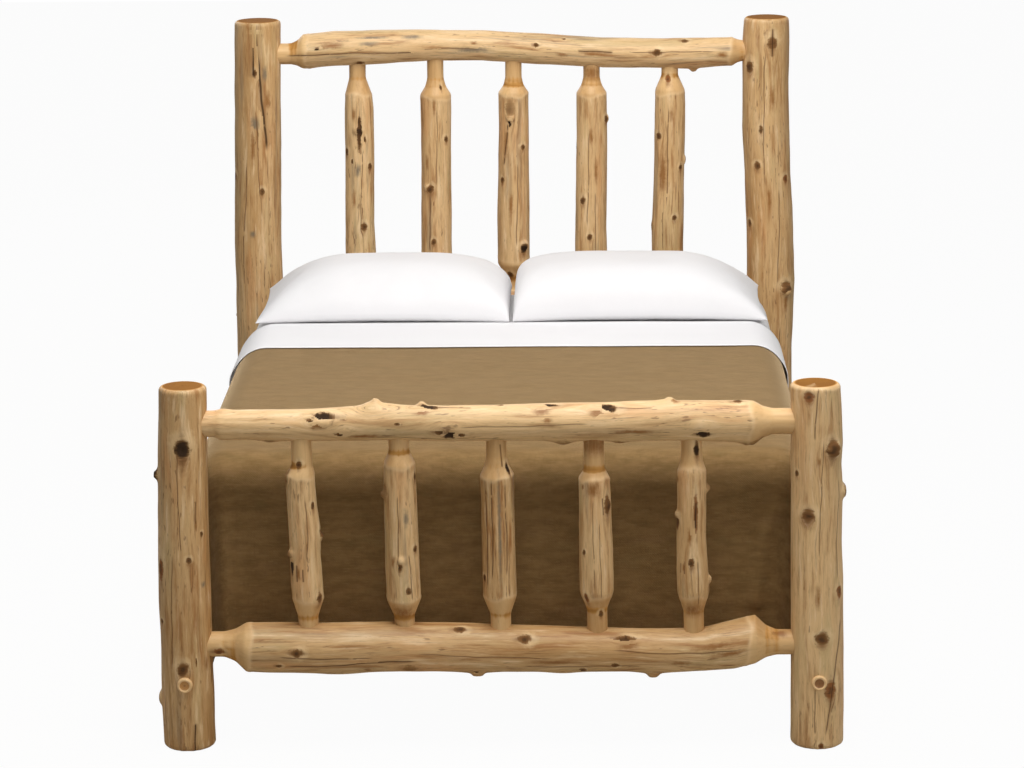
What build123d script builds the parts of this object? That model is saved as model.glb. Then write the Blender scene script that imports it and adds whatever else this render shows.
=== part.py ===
"""Queen-size rustic log bed: peeled cedar logs with round tenons, dressed with a mattress set and bedding.

Millimetres, +Z up. The origin is on the floor at the middle of the bed's footprint,
the footboard is towards -Y, the headboard towards +Y, and left is towards -X.
"""

from build123d import *
import math
import os
from dataclasses import dataclass

os.makedirs("parts", exist_ok=True)

# ---------------------------------------------------------------- driving dimensions

# Mattress set
mattress_width = 1524
mattress_length = 2032
mattress_height = 250
foundation_height = 225
mattress_edge_bevel = 30
mattress_corner_cut = 46
foundation_foot_room = 30     # foundation to the foot posts
foundation_head_room = 20     # foundation to the head posts
slat_deck_height = 230        # floor to the top of the slats

# Posts
foot_post_height = 918
head_post_height = 1523
foot_post_diameter = 134
head_post_diameter = 148
post_bevel = 6
log_flats = 12                # drawknife flats round a log
stub_flats = 8                # flats round a branch stub
stub_taper = 34
stub_root = 2

# Rails of the footboard and the headboard
foot_top_rail_height = 822
foot_top_rail_diameter = 95
foot_low_rail_height = 260
foot_low_rail_diameter = 120
head_top_rail_height = 1421
head_top_rail_diameter = 98
head_low_rail_height = 660
head_low_rail_diameter = 105
rail_tenon_diameter = 65

# Spindles
spindle_count = 5
foot_spindle_pitch = 238
head_spindle_pitch = 236
foot_spindle_diameter = 86
head_spindle_diameter = 97
spindle_tenon_diameter = 52
foot_spindle_lean = -9        # how far the tops stand to one side of the feet
head_spindle_lean = 3

# Side rails
side_rail_outset = 19         # rail centre line beyond the side of the mattress
side_rail_height = 175
side_rail_diameter = 104
side_rail_tenon_diameter = 60
side_rail_tenon_reach = 36    # depth in the post
side_rail_neck = 34

# Slats and their support
slat_count = 7
slat_width = 89
slat_thickness = 38
slat_bearing = 35             # slat end on the rail's sawn ledge
slat_end_inset = 70           # mattress end to the middle of the last slat
leg_places = (-450, 150, 750)
leg_width = 38

# Hardware
bolt_diameter = 10
bolt_length = 180             # under the head
bolt_head_diameter = 18
bolt_head_height = 7
plug_diameter = 38
plug_length = 14              # in the counterbore
plug_stand_out = 7            # proud of the post
plug_bevel = 4
bolt_pocket = 4               # empty space between bolt head and plug

# Bedding
sheet_thickness = 2
blanket_thickness = 6
sheet_left_hem = 520          # heights of the hems above the floor
sheet_right_hem = 480
sheet_foot_hem = 300
blanket_left_hem = 640
blanket_right_hem = 450
blanket_foot_hem = 236
fitted_sheet_hem = 470
cuff_front = 180              # place along the bed of the turned-down edge
cuff_width = 400
pillow_width = 735
pillow_depth = 500
pillow_height = 150
pillow_front = 490            # place along the bed of the pillows' front edges
pillow_gap = 16               # between the two pillows
pillow_seam_height = 48
pillow_corner_cut = 40
pillow_belly = 130            # how much smaller its underside is than its outline
pillow_crown = 230            # how much smaller its flat top is

# Clearances
tenon_clearance = 0.2         # round tenon in its hole, on the radius
tenon_end_gap = 1             # tenon tip to the bottom of its hole
bolt_clearance = 0.5
ply_gap = 0.3                 # between layers of cloth
saw_clearance = 2             # slat end to the rabbet wall
tip_short = 8                 # tenon tip short of the centre line it points at
bore_reach = 150              # long enough to leave any log

# ---------------------------------------------------------------- places worked out from them

half_mattress = mattress_width / 2
bevel_growth = 2 - math.sqrt(2)   # keeps the layers over the mattress's bevel as far apart as elsewhere
foundation_foot = -mattress_length / 2
foundation_head = mattress_length / 2
foot_y = foundation_foot - foundation_foot_room - foot_post_diameter / 2
head_y = foundation_head + foundation_head_room + head_post_diameter / 2
post_x = half_mattress + side_rail_outset
slat_bottom = slat_deck_height - slat_thickness
foundation_top = slat_deck_height + foundation_height
mattress_top = foundation_top + mattress_height


# ---------------------------------------------------------------- logs

@dataclass
class Knot:
    """The stub of a sawn-off branch, tapered to its collar."""
    share: float              # place along the body, 0 to 1
    angle: float              # degrees round the log from its side axis
    width: float              # at its root, inside the log
    height: float             # how far it stands out of the log


@dataclass
class Neck:
    """The shaved end of a log: a shoulder that narrows to a round tenon."""
    length: float
    tenon: float              # tenon diameter
    reach: float              # tenon length past the shoulder
    hollow: float = 0         # what is left of the shoulder half-way, or 0 for a straight cone


def shifted(plane, along, side=0.0, rise=0.0):
    """The plane moved along its own three axes."""
    origin = plane.origin + plane.z_dir * along + plane.x_dir * side + plane.y_dir * rise
    return Plane(origin, x_dir=plane.x_dir, z_dir=plane.z_dir)


def facing(point, direction, across=(1, 0, 0)):
    """A plane at a point that looks along a direction."""
    return Plane(point, x_dir=across, z_dir=direction)


def ring_at(rings, share):
    """Side, rise and girth of a log between two of its listed rings."""
    for low, high in zip(rings, rings[1:]):
        if share <= high[0]:
            part = (share - low[0]) / (high[0] - low[0])
            return [a + (b - a) * part for a, b in zip(low[1:], high[1:])]
    return list(rings[-1][1:])


def neck_ring(neck, ring, way, step, left):
    """A ring of a neck: step of the way out from its shoulder, with some of the shoulder's fullness left."""
    along, side, rise, girth = ring
    return along + way * step * neck.length, side * left, rise * left, neck.tenon + (girth - neck.tenon) * left


def neck_rings(neck, ring, way):
    """The rings of a neck and its tenon, from the shoulder to the tenon's tip."""
    rings = [neck_ring(neck, ring, way, 1, 0), (ring[0] + way * (neck.length + neck.reach), 0, 0, neck.tenon)]
    if neck.hollow:
        rings = [neck_ring(neck, ring, way, 0.5, neck.hollow)] + rings
    return rings


def all_rings(length, diameter, rings, start, end, bevel):
    """Every ring of a log from one end to the other, in millimetres: along, side, rise and girth."""
    body = [(share * length, side * diameter, rise * diameter, girth * diameter)
            for share, side, rise, girth in rings]
    first, last = body[0], body[-1]
    if start:
        body = neck_rings(start, first, -1)[::-1] + body
    elif bevel:
        body[0] = (first[0] + bevel, *first[1:])
        body = [(*first[:3], first[3] - 2 * bevel)] + body
    if end:
        body += neck_rings(end, last, 1)
    elif bevel:
        body[-1] = (last[0] - bevel, *last[1:])
        body += [(*last[:3], last[3] - 2 * bevel)]
    return body


def knot_plane(plane, length, diameter, rings, knot, root):
    """The plane of a branch stub's root, which looks out of the log."""
    side, rise, girth = ring_at(rings, knot.share)
    turn = math.radians(knot.angle)
    out = girth * diameter / 2 - root
    way = plane.x_dir * math.cos(turn) + plane.y_dir * math.sin(turn)
    middle = shifted(plane, knot.share * length, side * diameter, rise * diameter).origin + way * out
    return Plane(middle, x_dir=plane.z_dir, z_dir=way)


def flat_sided(sections):
    """A solid through a row of alike polygons, each (plane, radius, corners), with true planes for sides."""
    with BuildPart() as body:
        for plane, radius, corners in sections:
            with BuildSketch(plane):
                RegularPolygon(radius, corners)
        loft(ruled=True)
    return with_true_planes(body.part)


def with_true_planes(part):
    """The same solid, each of whose faces is flat, with planes for surfaces."""
    return Solid(Shell([Face(face.outer_wire()) for face in part.faces()]))


def make_stub(plane, length, diameter, rings, knot):
    root = stub_root + knot.width / 4
    low = knot_plane(plane, length, diameter, rings, knot, root)
    high = shifted(low, root + knot.height)
    top = knot.width / 2 - (root + knot.height) * math.tan(math.radians(stub_taper))
    return flat_sided([(low, knot.width / 2, stub_flats), (high, top, stub_flats)])


def make_log(label, plane, length, diameter, rings, knots=(), start=None, end=None, bevel=0):
    """A hand-peeled log along the plane's normal, with the flats of the drawknife all round it.

    Each ring is (share of the length, side, rise, girth), the last three as shares of the diameter.
    start and end are the necks at its two ends, and bevel breaks the edge of an end without one.
    """
    sections = [(shifted(plane, along, side, rise), girth / 2, log_flats)
                for along, side, rise, girth in all_rings(length, diameter, rings, start, end, bevel)]
    body = flat_sided(sections)
    stubs = [make_stub(plane, length, diameter, rings, knot) for knot in knots]
    with BuildPart() as log:
        add(body)
        for stub in stubs:
            add(stub)
    log.part.label = label
    return log.part


def with_bores(part, bores):
    """The log with round holes cut. A bore is (plane on its bottom that looks out, diameter, depth)."""
    with BuildPart() as bored:
        add(part)
        for plane, diameter, depth in bores:
            with BuildSketch(plane):
                Circle(diameter / 2)
            extrude(amount=depth, mode=Mode.SUBTRACT)
    bored.part.label = part.label
    return bored.part


def save(part):
    export_step(part, f"parts/{part.label}.step")


# ---------------------------------------------------------------- rails

@dataclass
class Rail:
    """A log that runs from the left post to the right one, its tenons in line with each other."""
    label: str
    y: float
    height: float
    diameter: float
    left_setback: float       # post centre line to the start of the log's full thickness
    right_setback: float
    left_neck: float
    right_neck: float
    rings: list
    knots: list

    @property
    def start(self):
        return -post_x + self.left_setback

    @property
    def length(self):
        return 2 * post_x - self.left_setback - self.right_setback

    def centre_height(self, x):
        rise = ring_at(self.rings, (x - self.start) / self.length)[1]
        return self.height + rise * self.diameter

    def make(self):
        plane = facing((self.start, self.y, self.height), (1, 0, 0), across=(0, 1, 0))
        left = Neck(self.left_neck, rail_tenon_diameter,
                    self.left_setback - self.left_neck - tip_short, hollow=0.3)
        right = Neck(self.right_neck, rail_tenon_diameter,
                     self.right_setback - self.right_neck - tip_short, hollow=0.3)
        return make_log(self.label, plane, self.length, self.diameter, self.rings, self.knots, left, right)

    def post_bores(self, side):
        """The hole that this rail needs in the post on that side, -1 for the left and 1 for the right."""
        tip = post_x - tip_short + tenon_end_gap
        plane = facing((side * tip, self.y, self.height), (-side, 0, 0), across=(0, 1, 0))
        return [(plane, rail_tenon_diameter + 2 * tenon_clearance, bore_reach)]


UP, DOWN, FRONT = 90, 270, 180    # angles round a rail

foot_rail_top = Rail(
    "foot_rail_top", foot_y, foot_top_rail_height, foot_top_rail_diameter,
    left_setback=98, right_setback=163, left_neck=14, right_neck=46,
    rings=[
        (0.00, 0.00, -0.03, 0.78),
        (0.15, 0.03, -0.045, 0.84),
        (0.31, 0.00, 0.015, 0.94),
        (0.43, -0.02, -0.01, 0.94),
        (0.64, 0.02, 0.00, 1.00),
        (0.87, 0.02, 0.03, 1.07),
        (1.00, 0.00, -0.01, 1.10),
    ],
    knots=[
        Knot(0.295, UP, 42, 7),
        Knot(0.38, UP - 10, 42, 8),
        Knot(0.845, UP, 42, 6),
    ],
)

foot_rail_bottom = Rail(
    "foot_rail_bottom", foot_y, foot_low_rail_height, foot_low_rail_diameter,
    left_setback=149, right_setback=155, left_neck=54, right_neck=52,
    rings=[
        (0.00, 0.00, -0.065, 1.05),
        (0.16, -0.01, -0.085, 1.07),
        (0.30, -0.02, -0.06, 1.05),
        (0.46, 0.00, -0.095, 1.02),
        (0.62, 0.02, -0.135, 0.96),
        (0.81, 0.01, -0.175, 0.91),
        (0.90, 0.00, -0.145, 0.94),
        (0.96, 0.00, -0.04, 1.04),
        (1.00, 0.00, 0.06, 1.02),
    ],
    knots=[
        Knot(0.455, DOWN - 10, 54, 5),
        Knot(0.80, DOWN - 10, 54, 7),
    ],
)

head_rail_top = Rail(
    "head_rail_top", head_y, head_top_rail_height, head_top_rail_diameter,
    left_setback=149, right_setback=118, left_neck=36, right_neck=30,
    rings=[
        (0.00, 0.00, 0.08, 1.07),
        (0.07, -0.01, 0.155, 1.09),
        (0.18, -0.02, 0.195, 1.07),
        (0.30, -0.02, 0.24, 0.98),
        (0.42, 0.01, 0.215, 0.95),
        (0.56, 0.03, 0.085, 0.97),
        (0.70, 0.02, -0.03, 0.945),
        (0.85, 0.00, -0.065, 0.93),
        (1.00, 0.00, -0.02, 0.90),
    ],
    knots=[
        Knot(0.91, DOWN, 44, 7),
    ],
)

head_rail_bottom = Rail(
    "head_rail_bottom", head_y, head_low_rail_height, head_low_rail_diameter,
    left_setback=140, right_setback=136, left_neck=46, right_neck=44,
    rings=[
        (0.00, 0.00, 0.02, 1.00),
        (0.20, 0.02, 0.05, 1.03),
        (0.40, 0.03, 0.02, 0.99),
        (0.60, 0.00, -0.03, 0.98),
        (0.80, -0.02, 0.00, 1.02),
        (1.00, 0.00, 0.02, 1.00),
    ],
    knots=[
        Knot(0.33, UP + 60, 44, 6),
    ],
)


# ---------------------------------------------------------------- side rails

def side_rail_radius_at(height):
    """Half the width of the side rail's nominal round at a height above its centre line."""
    return math.sqrt((side_rail_diameter / 2) ** 2 - height**2)


ledge_rise = slat_bottom - side_rail_height
ledge_edge = post_x - side_rail_radius_at(ledge_rise)
rabbet_wall = ledge_edge + slat_bearing + saw_clearance
post_ends = {-1: (foot_y, foot_post_diameter), 1: (head_y, head_post_diameter)}

SIDE_RAIL_RINGS = [
    (0.00, 0.00, 0.00, 0.97),
    (0.18, 0.01, -0.02, 1.00),
    (0.38, 0.02, -0.03, 0.98),
    (0.60, 0.00, -0.02, 1.00),
    (0.82, -0.01, -0.01, 0.98),
    (1.00, 0.00, 0.00, 0.96),
]


def inner_face(end):
    """Where a post's inner face stands along the bed."""
    y, diameter = post_ends[end]
    return y - end * diameter / 2


def outer_face(end):
    y, diameter = post_ends[end]
    return y + end * diameter / 2


def counterbore_floor(end):
    depth = plug_length + bolt_pocket + bolt_head_height
    return outer_face(end) - end * depth


def slat_places():
    """The middles of the slats along the bed."""
    first = -mattress_length / 2 + slat_end_inset
    last = mattress_length / 2 - slat_end_inset
    step = (last - first) / (slat_count - 1)
    return [first + step * i for i in range(slat_count)]


slat_half_length = rabbet_wall - saw_clearance


def make_side_rail(label, side):
    """A log with a sawn rabbet on its inner upper quarter, a tenon and a bolt hole in each end."""
    start = inner_face(-1) + side_rail_neck
    length = inner_face(1) - side_rail_neck - start
    plane = facing((side * post_x, start, side_rail_height), (0, 1, 0), across=(-1, 0, 0))
    neck = Neck(side_rail_neck, side_rail_tenon_diameter, side_rail_tenon_reach, hollow=0.35)
    knots = [Knot(0.27, 270 - 70 * side, 44, 6)]
    log = make_log(label, plane, length, side_rail_diameter, SIDE_RAIL_RINGS, knots, neck, neck)
    with BuildPart() as rail:
        add(log)
        with Locations((side * (rabbet_wall - side_rail_diameter), (foot_y + head_y) / 2, slat_bottom)):
            Box(2 * side_rail_diameter, head_y - foot_y, side_rail_diameter, mode=Mode.SUBTRACT,
                align=(Align.CENTER, Align.CENTER, Align.MIN))
        for end in post_ends:
            bolt_end = counterbore_floor(end) - end * (bolt_length + tenon_end_gap)
            with BuildSketch(facing((side * post_x, bolt_end, side_rail_height), (0, end, 0))):
                Circle(bolt_diameter / 2 + bolt_clearance)
            extrude(amount=2 * bore_reach, mode=Mode.SUBTRACT)
    rail.part.label = label
    return rail.part


# ---------------------------------------------------------------- posts

@dataclass
class Post:
    """A corner post: its log, and the rails that meet it."""
    label: str
    side: int                 # -1 left, 1 right
    end: int                  # -1 foot, 1 head
    height: float
    diameter: float
    rails: list
    rings: list
    knots: list

    def make(self):
        y = post_ends[self.end][0]
        plane = facing((self.side * post_x, y, 0), (0, 0, 1))
        log = make_log(self.label, plane, self.height, self.diameter, self.rings, self.knots, bevel=post_bevel)
        bores = [bore for rail in self.rails for bore in rail.post_bores(self.side)]
        tenon_tip = inner_face(self.end) + self.end * (side_rail_tenon_reach + tenon_end_gap)
        tenon_plane = facing((self.side * post_x, tenon_tip, side_rail_height), (0, -self.end, 0))
        bores.append((tenon_plane, side_rail_tenon_diameter + 2 * tenon_clearance, bore_reach))
        bolt_plane = facing((self.side * post_x, y, side_rail_height), (0, self.end, 0))
        bores.append((bolt_plane, bolt_diameter + 2 * bolt_clearance, bore_reach))
        bolt_back = facing((self.side * post_x, y, side_rail_height), (0, -self.end, 0))
        bores.append((bolt_back, bolt_diameter + 2 * bolt_clearance, bore_reach))
        floor = counterbore_floor(self.end)
        pocket = facing((self.side * post_x, floor, side_rail_height), (0, self.end, 0))
        bores.append((pocket, plug_diameter + 2 * tenon_clearance, bore_reach))
        return with_bores(log, bores)


LEFT_SIDE, RIGHT_SIDE, TOWARDS_FOOT = 180, 0, 270    # angles round a post

post_foot_left = Post(
    "post_foot_left", -1, -1, foot_post_height, foot_post_diameter,
    rails=[foot_rail_top, foot_rail_bottom],
    rings=[
        (0.00, 0.01, 0.00, 0.985),
        (0.10, 0.00, 0.00, 1.00),
        (0.27, 0.00, 0.01, 0.97),
        (0.41, 0.00, 0.00, 0.985),
        (0.58, 0.01, -0.015, 0.955),
        (0.82, 0.045, -0.01, 0.915),
        (1.00, 0.075, 0.01, 0.89),
    ],
    knots=[
        Knot(0.76, LEFT_SIDE + 8, 44, 11),
        Knot(0.135, LEFT_SIDE, 64, 5),
    ],
)

post_foot_right = Post(
    "post_foot_right", 1, -1, foot_post_height, foot_post_diameter,
    rails=[foot_rail_top, foot_rail_bottom],
    rings=[
        (0.00, 0.00, 0.00, 1.00),
        (0.12, 0.00, 0.00, 1.00),
        (0.29, -0.015, 0.00, 0.99),
        (0.47, -0.03, 0.01, 0.985),
        (0.57, -0.05, 0.01, 0.955),
        (0.70, -0.045, 0.00, 0.965),
        (0.78, -0.07, -0.01, 0.95),
        (0.84, -0.055, -0.01, 0.97),
        (1.00, -0.095, 0.00, 0.925),
    ],
    knots=[
        Knot(0.705, RIGHT_SIDE, 64, 6),
        Knot(0.83, TOWARDS_FOOT + 38, 64, 6),
    ],
)

post_head_left = Post(
    "post_head_left", -1, 1, head_post_height, head_post_diameter,
    rails=[head_rail_top, head_rail_bottom],
    rings=[
        (0.00, 0.00, 0.00, 1.00),
        (0.12, 0.00, 0.00, 1.00),
        (0.35, -0.015, 0.01, 1.00),
        (0.56, -0.015, 0.00, 0.985),
        (0.80, 0.045, -0.015, 0.968),
        (1.00, 0.09, 0.00, 0.96),
    ],
    knots=[
        Knot(0.40, LEFT_SIDE - 30, 64, 6),
    ],
)

post_head_right = Post(
    "post_head_right", 1, 1, head_post_height, head_post_diameter,
    rails=[head_rail_top, head_rail_bottom],
    rings=[
        (0.00, 0.00, 0.00, 0.99),
        (0.12, 0.00, 0.00, 1.00),
        (0.33, -0.01, 0.00, 0.98),
        (0.47, 0.02, 0.00, 1.01),
        (0.56, 0.00, 0.00, 0.99),
        (0.69, -0.06, 0.01, 0.965),
        (0.78, -0.10, 0.01, 0.98),
        (0.87, -0.115, 0.00, 0.96),
        (0.95, -0.11, 0.00, 0.975),
        (1.00, -0.105, 0.00, 0.93),
    ],
    knots=[
        Knot(0.455, TOWARDS_FOOT + 38, 64, 9),
    ],
)


# ---------------------------------------------------------------- spindles

@dataclass
class Spindle:
    """One upright of a board. Its two bare lengths run from the rails' axes to its full thickness."""
    low_bare: float
    high_bare: float
    low_neck: float
    high_neck: float
    high_hollow: float
    rings: list
    knots: list


def make_spindle(label, spindle, index, low_rail, high_rail, pitch, lean, diameter):
    """Returns the spindle and the holes that it needs in the low and the high rail."""
    place = (index - (spindle_count - 1) / 2) * pitch
    low = Vector(place, low_rail.y, low_rail.centre_height(place) + tip_short)
    top_x = place + lean
    high = Vector(top_x, high_rail.y, high_rail.centre_height(top_x) - tip_short)
    way = (high - low).normalized()
    low_start = low_rail.height + spindle.low_bare - low.Z
    high_start = high.Z - (high_rail.height - spindle.high_bare)
    length = (high - low).length - low_start - high_start
    plane = facing(low + way * low_start, way)
    low_neck = Neck(spindle.low_neck, spindle_tenon_diameter, low_start - spindle.low_neck)
    high_neck = Neck(spindle.high_neck, spindle_tenon_diameter, high_start - spindle.high_neck,
                     hollow=spindle.high_hollow)
    part = make_log(label, plane, length, diameter, spindle.rings, spindle.knots, low_neck, high_neck)
    hole = spindle_tenon_diameter + 2 * tenon_clearance
    low_bore = (facing(low - way * tenon_end_gap, way), hole, bore_reach)
    high_bore = (facing(high + way * tenon_end_gap, -way), hole, bore_reach)
    return part, low_bore, high_bore


TO_VIEWER = 270                   # angle round a spindle

FOOT_SPINDLES = [
    Spindle(
        117, 126, 44, 22, 0,
        rings=[
            (0.00, 0.02, 0.00, 0.93),
            (0.12, 0.00, 0.00, 0.95),
            (0.35, -0.02, 0.00, 0.90),
            (0.52, 0.00, 0.01, 0.95),
            (0.75, -0.05, 0.00, 0.88),
            (1.00, -0.07, 0.00, 0.85),
        ],
        knots=[Knot(0.50, RIGHT_SIDE, 38, 6), Knot(0.38, LEFT_SIDE + 30, 38, 6)],
    ),
    Spindle(
        116, 100, 42, 30, 0,
        rings=[
            (0.00, 0.00, 0.00, 1.02),
            (0.20, -0.01, 0.00, 1.02),
            (0.50, -0.01, 0.00, 0.98),
            (0.80, -0.01, 0.01, 0.96),
            (1.00, 0.00, 0.00, 0.92),
        ],
        knots=[Knot(0.78, LEFT_SIDE + 20, 36, 7), Knot(0.31, TO_VIEWER, 38, 6)],
    ),
    Spindle(
        122, 132, 44, 50, 0.3,
        rings=[
            (0.00, -0.01, 0.00, 0.98),
            (0.25, -0.01, 0.00, 0.99),
            (0.50, 0.00, 0.00, 0.98),
            (0.75, 0.00, 0.00, 0.96),
            (1.00, 0.00, 0.00, 1.00),
        ],
        knots=[],
    ),
    Spindle(
        132, 140, 42, 24, 0,
        rings=[
            (0.00, 0.00, 0.00, 0.99),
            (0.15, 0.00, 0.00, 1.00),
            (0.45, 0.00, 0.00, 0.98),
            (0.80, 0.00, 0.00, 0.95),
            (1.00, -0.01, 0.00, 0.92),
        ],
        knots=[Knot(0.78, RIGHT_SIDE - 35, 38, 3)],
    ),
    Spindle(
        131, 124, 48, 46, 0.3,
        rings=[
            (0.00, 0.00, 0.00, 0.93),
            (0.18, -0.03, 0.00, 0.93),
            (0.45, -0.04, 0.01, 0.87),
            (0.70, -0.02, 0.00, 0.87),
            (1.00, 0.00, 0.00, 0.84),
        ],
        knots=[Knot(0.86, RIGHT_SIDE - 5, 38, 8), Knot(0.65, LEFT_SIDE + 12, 36, 5), Knot(0.10, RIGHT_SIDE, 38, 7)],
    ),
]

HEAD_SPINDLES = [
    Spindle(
        112, 124, 42, 50, 0,
        rings=[
            (0.00, 0.03, 0.00, 1.00),
            (0.25, 0.00, 0.00, 0.93),
            (0.50, 0.02, 0.01, 0.93),
            (0.70, 0.04, 0.00, 0.94),
            (0.92, 0.03, 0.00, 0.93),
            (1.00, 0.02, 0.00, 0.86),
        ],
        knots=[Knot(0.80, TO_VIEWER - 5, 44, 5)],
    ),
    Spindle(
        112, 126, 42, 48, 0.3,
        rings=[
            (0.00, -0.02, 0.00, 1.00),
            (0.30, -0.01, 0.00, 0.98),
            (0.60, 0.00, -0.01, 0.96),
            (1.00, 0.00, 0.00, 0.98),
        ],
        knots=[Knot(0.46, TO_VIEWER - 35, 42, 5)],
    ),
    Spindle(
        112, 122, 42, 46, 0.25,
        rings=[
            (0.00, -0.02, 0.00, 1.03),
            (0.25, -0.03, 0.00, 1.05),
            (0.55, -0.01, 0.00, 1.00),
            (0.80, 0.00, 0.00, 0.96),
            (1.00, 0.00, 0.00, 0.97),
        ],
        knots=[Knot(0.86, TO_VIEWER - 12, 42, 7), Knot(0.12, TO_VIEWER + 45, 48, 7)],
    ),
    Spindle(
        112, 124, 42, 46, 0.3,
        rings=[
            (0.00, -0.01, 0.00, 1.04),
            (0.20, -0.02, 0.00, 1.01),
            (0.50, 0.00, 0.01, 1.00),
            (0.75, 0.01, 0.00, 0.99),
            (1.00, 0.00, 0.00, 0.96),
        ],
        knots=[Knot(0.85, RIGHT_SIDE, 40, 4)],
    ),
    Spindle(
        112, 116, 42, 44, 0,
        rings=[
            (0.00, -0.03, 0.00, 1.00),
            (0.18, -0.04, 0.00, 1.03),
            (0.45, -0.01, 0.00, 0.98),
            (0.75, 0.01, 0.00, 0.97),
            (0.92, 0.02, 0.00, 0.98),
            (1.00, 0.01, 0.00, 0.94),
        ],
        knots=[Knot(0.60, RIGHT_SIDE - 15, 44, 3)],
    ),
]


def make_board(name, spindles, low_rail, high_rail, pitch, lean, diameter):
    """One end of the bed without its posts: spindles and the two rails that they join."""
    low_bores, high_bores, pieces = [], [], []
    for index in range(spindle_count):
        spindle = spindles[index % len(spindles)]
        label = f"{name}_spindle_{index + 1}"
        part, low_bore, high_bore = make_spindle(label, spindle, index, low_rail, high_rail, pitch, lean, diameter)
        pieces.append(part)
        low_bores.append(low_bore)
        high_bores.append(high_bore)
    pieces.append(with_bores(low_rail.make(), low_bores))
    pieces.append(with_bores(high_rail.make(), high_bores))
    return pieces


# ---------------------------------------------------------------- lag bolts and their plugs

def make_bolts():
    """One lag bolt through each post into the end of a side rail."""
    with BuildPart() as bolts:
        for side in (-1, 1):
            for end in post_ends:
                seat = (side * post_x, counterbore_floor(end), side_rail_height)
                with BuildSketch(facing(seat, (0, end, 0))):
                    RegularPolygon(bolt_head_diameter / 2, 6)
                extrude(amount=bolt_head_height)
                with BuildSketch(facing(seat, (0, -end, 0))):
                    Circle(bolt_diameter / 2)
                extrude(amount=bolt_length)
    bolts.part.label = "lag_bolts"
    return bolts.part


def make_plugs():
    """Whittled wooden buttons that close the bolts' counterbores."""
    plugs = []
    for side in (-1, 1):
        for end in post_ends:
            front = facing((side * post_x, outer_face(end), side_rail_height), (0, end, 0))
            radius = plug_diameter / 2
            plugs.append(flat_sided([
                (shifted(front, -plug_length), radius, log_flats),
                (shifted(front, plug_stand_out - plug_bevel), radius, log_flats),
                (shifted(front, plug_stand_out), radius - plug_bevel, log_flats),
            ]))
    with BuildPart() as group:
        for plug in plugs:
            add(plug)
    group.part.label = "bolt_plugs"
    return group.part


# ---------------------------------------------------------------- slats and their support

def make_slat(index, y):
    """A board that drops into the two side rails' rabbets."""
    with BuildPart() as slat:
        with BuildSketch(Plane.XY.offset(slat_bottom)):
            with Locations((0, y)):
                Rectangle(2 * slat_half_length, slat_width)
        extrude(amount=slat_thickness)
    slat.part.label = f"slat_{index + 1}"
    return slat.part


def make_centre_beam():
    places = slat_places()
    with BuildPart() as beam:
        with BuildSketch(Plane.XY.offset(slat_bottom - slat_thickness)):
            with Locations((0, (places[0] + places[-1]) / 2)):
                Rectangle(slat_width, places[-1] - places[0] + slat_width)
        extrude(amount=slat_thickness)
    beam.part.label = "centre_beam"
    return beam.part


def make_centre_leg(index, y):
    with BuildPart() as leg:
        with BuildSketch(Plane.XY):
            with Locations((0, y)):
                Rectangle(slat_width, leg_width)
        extrude(amount=slat_bottom - slat_thickness)
    leg.part.label = f"centre_leg_{index + 1}"
    return leg.part


# ---------------------------------------------------------------- mattress set

def make_pad(label, bottom, top, bevel):
    """A rectangular pad with its corners cut off."""
    with BuildPart() as pad:
        with BuildSketch(Plane.XY.offset(bottom)):
            outline = Rectangle(mattress_width, mattress_length)
            chamfer(outline.vertices(), mattress_corner_cut)
        extrude(amount=top - bottom)
        if bevel:
            chamfer(pad.faces().sort_by(Axis.Z)[-1].edges(), bevel)
    pad.part.label = label
    return pad.part


def cover_block(out, bottom):
    """The space under a cloth that lies that far outside the mattress, from a height up to the cloth."""
    with BuildPart() as block:
        with BuildSketch(Plane.XY.offset(bottom)):
            outline = Rectangle(mattress_width + 2 * out, mattress_length + 2 * out)
            chamfer(outline.vertices(), mattress_corner_cut + out * bevel_growth)
        extrude(amount=mattress_top + out - bottom)
        chamfer(block.faces().sort_by(Axis.Z)[-1].edges(), mattress_edge_bevel + out * bevel_growth)
    return block.part


def make_cloth(inner, thickness, left_hem, right_hem, foot_hem, front, back):
    """A cloth over the mattress from one place along the bed to another, with its own hem on each side."""
    floor = min(left_hem, right_hem, foot_hem)
    wide = mattress_width
    tall = 2 * mattress_top
    sides_start = max(front, foundation_foot + mattress_corner_cut)
    with BuildPart() as cloth:
        add(cover_block(inner + thickness, floor))
        add(cover_block(inner, floor - 1), mode=Mode.SUBTRACT)
        with Locations((0, (front + back) / 2, 0)):
            Box(2 * wide, back - front, 2 * tall, mode=Mode.INTERSECT)
        for side, hem in ((-1, left_hem), (1, right_hem)):
            if hem > floor:
                with Locations((side * wide, (sides_start + back) / 2, hem)):
                    Box(2 * wide - mattress_corner_cut, back - sides_start, tall, mode=Mode.SUBTRACT,
                        align=(Align.CENTER, Align.CENTER, Align.MAX))
        if foot_hem > floor and front < sides_start:
            with Locations((0, sides_start, foot_hem)):
                Box(2 * wide, tall, tall, mode=Mode.SUBTRACT, align=(Align.CENTER, Align.MAX, Align.MAX))
    return cloth.part


cloth_foot = foundation_foot - 100
cloth_head = foundation_head + 100
fitted_out = ply_gap
sheet_out = fitted_out + sheet_thickness + ply_gap
blanket_out = sheet_out + sheet_thickness + ply_gap
cuff_out = blanket_out + blanket_thickness + ply_gap
cuff_fold = cuff_front + cuff_width
blanket_head = cuff_fold - 2 * ply_gap - sheet_thickness


def make_fitted_sheet():
    with BuildPart() as sheet:
        add(make_cloth(fitted_out, sheet_thickness, fitted_sheet_hem, fitted_sheet_hem, fitted_sheet_hem,
                       cloth_foot, cloth_head))
    sheet.part.label = "fitted_sheet"
    return sheet.part


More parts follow.
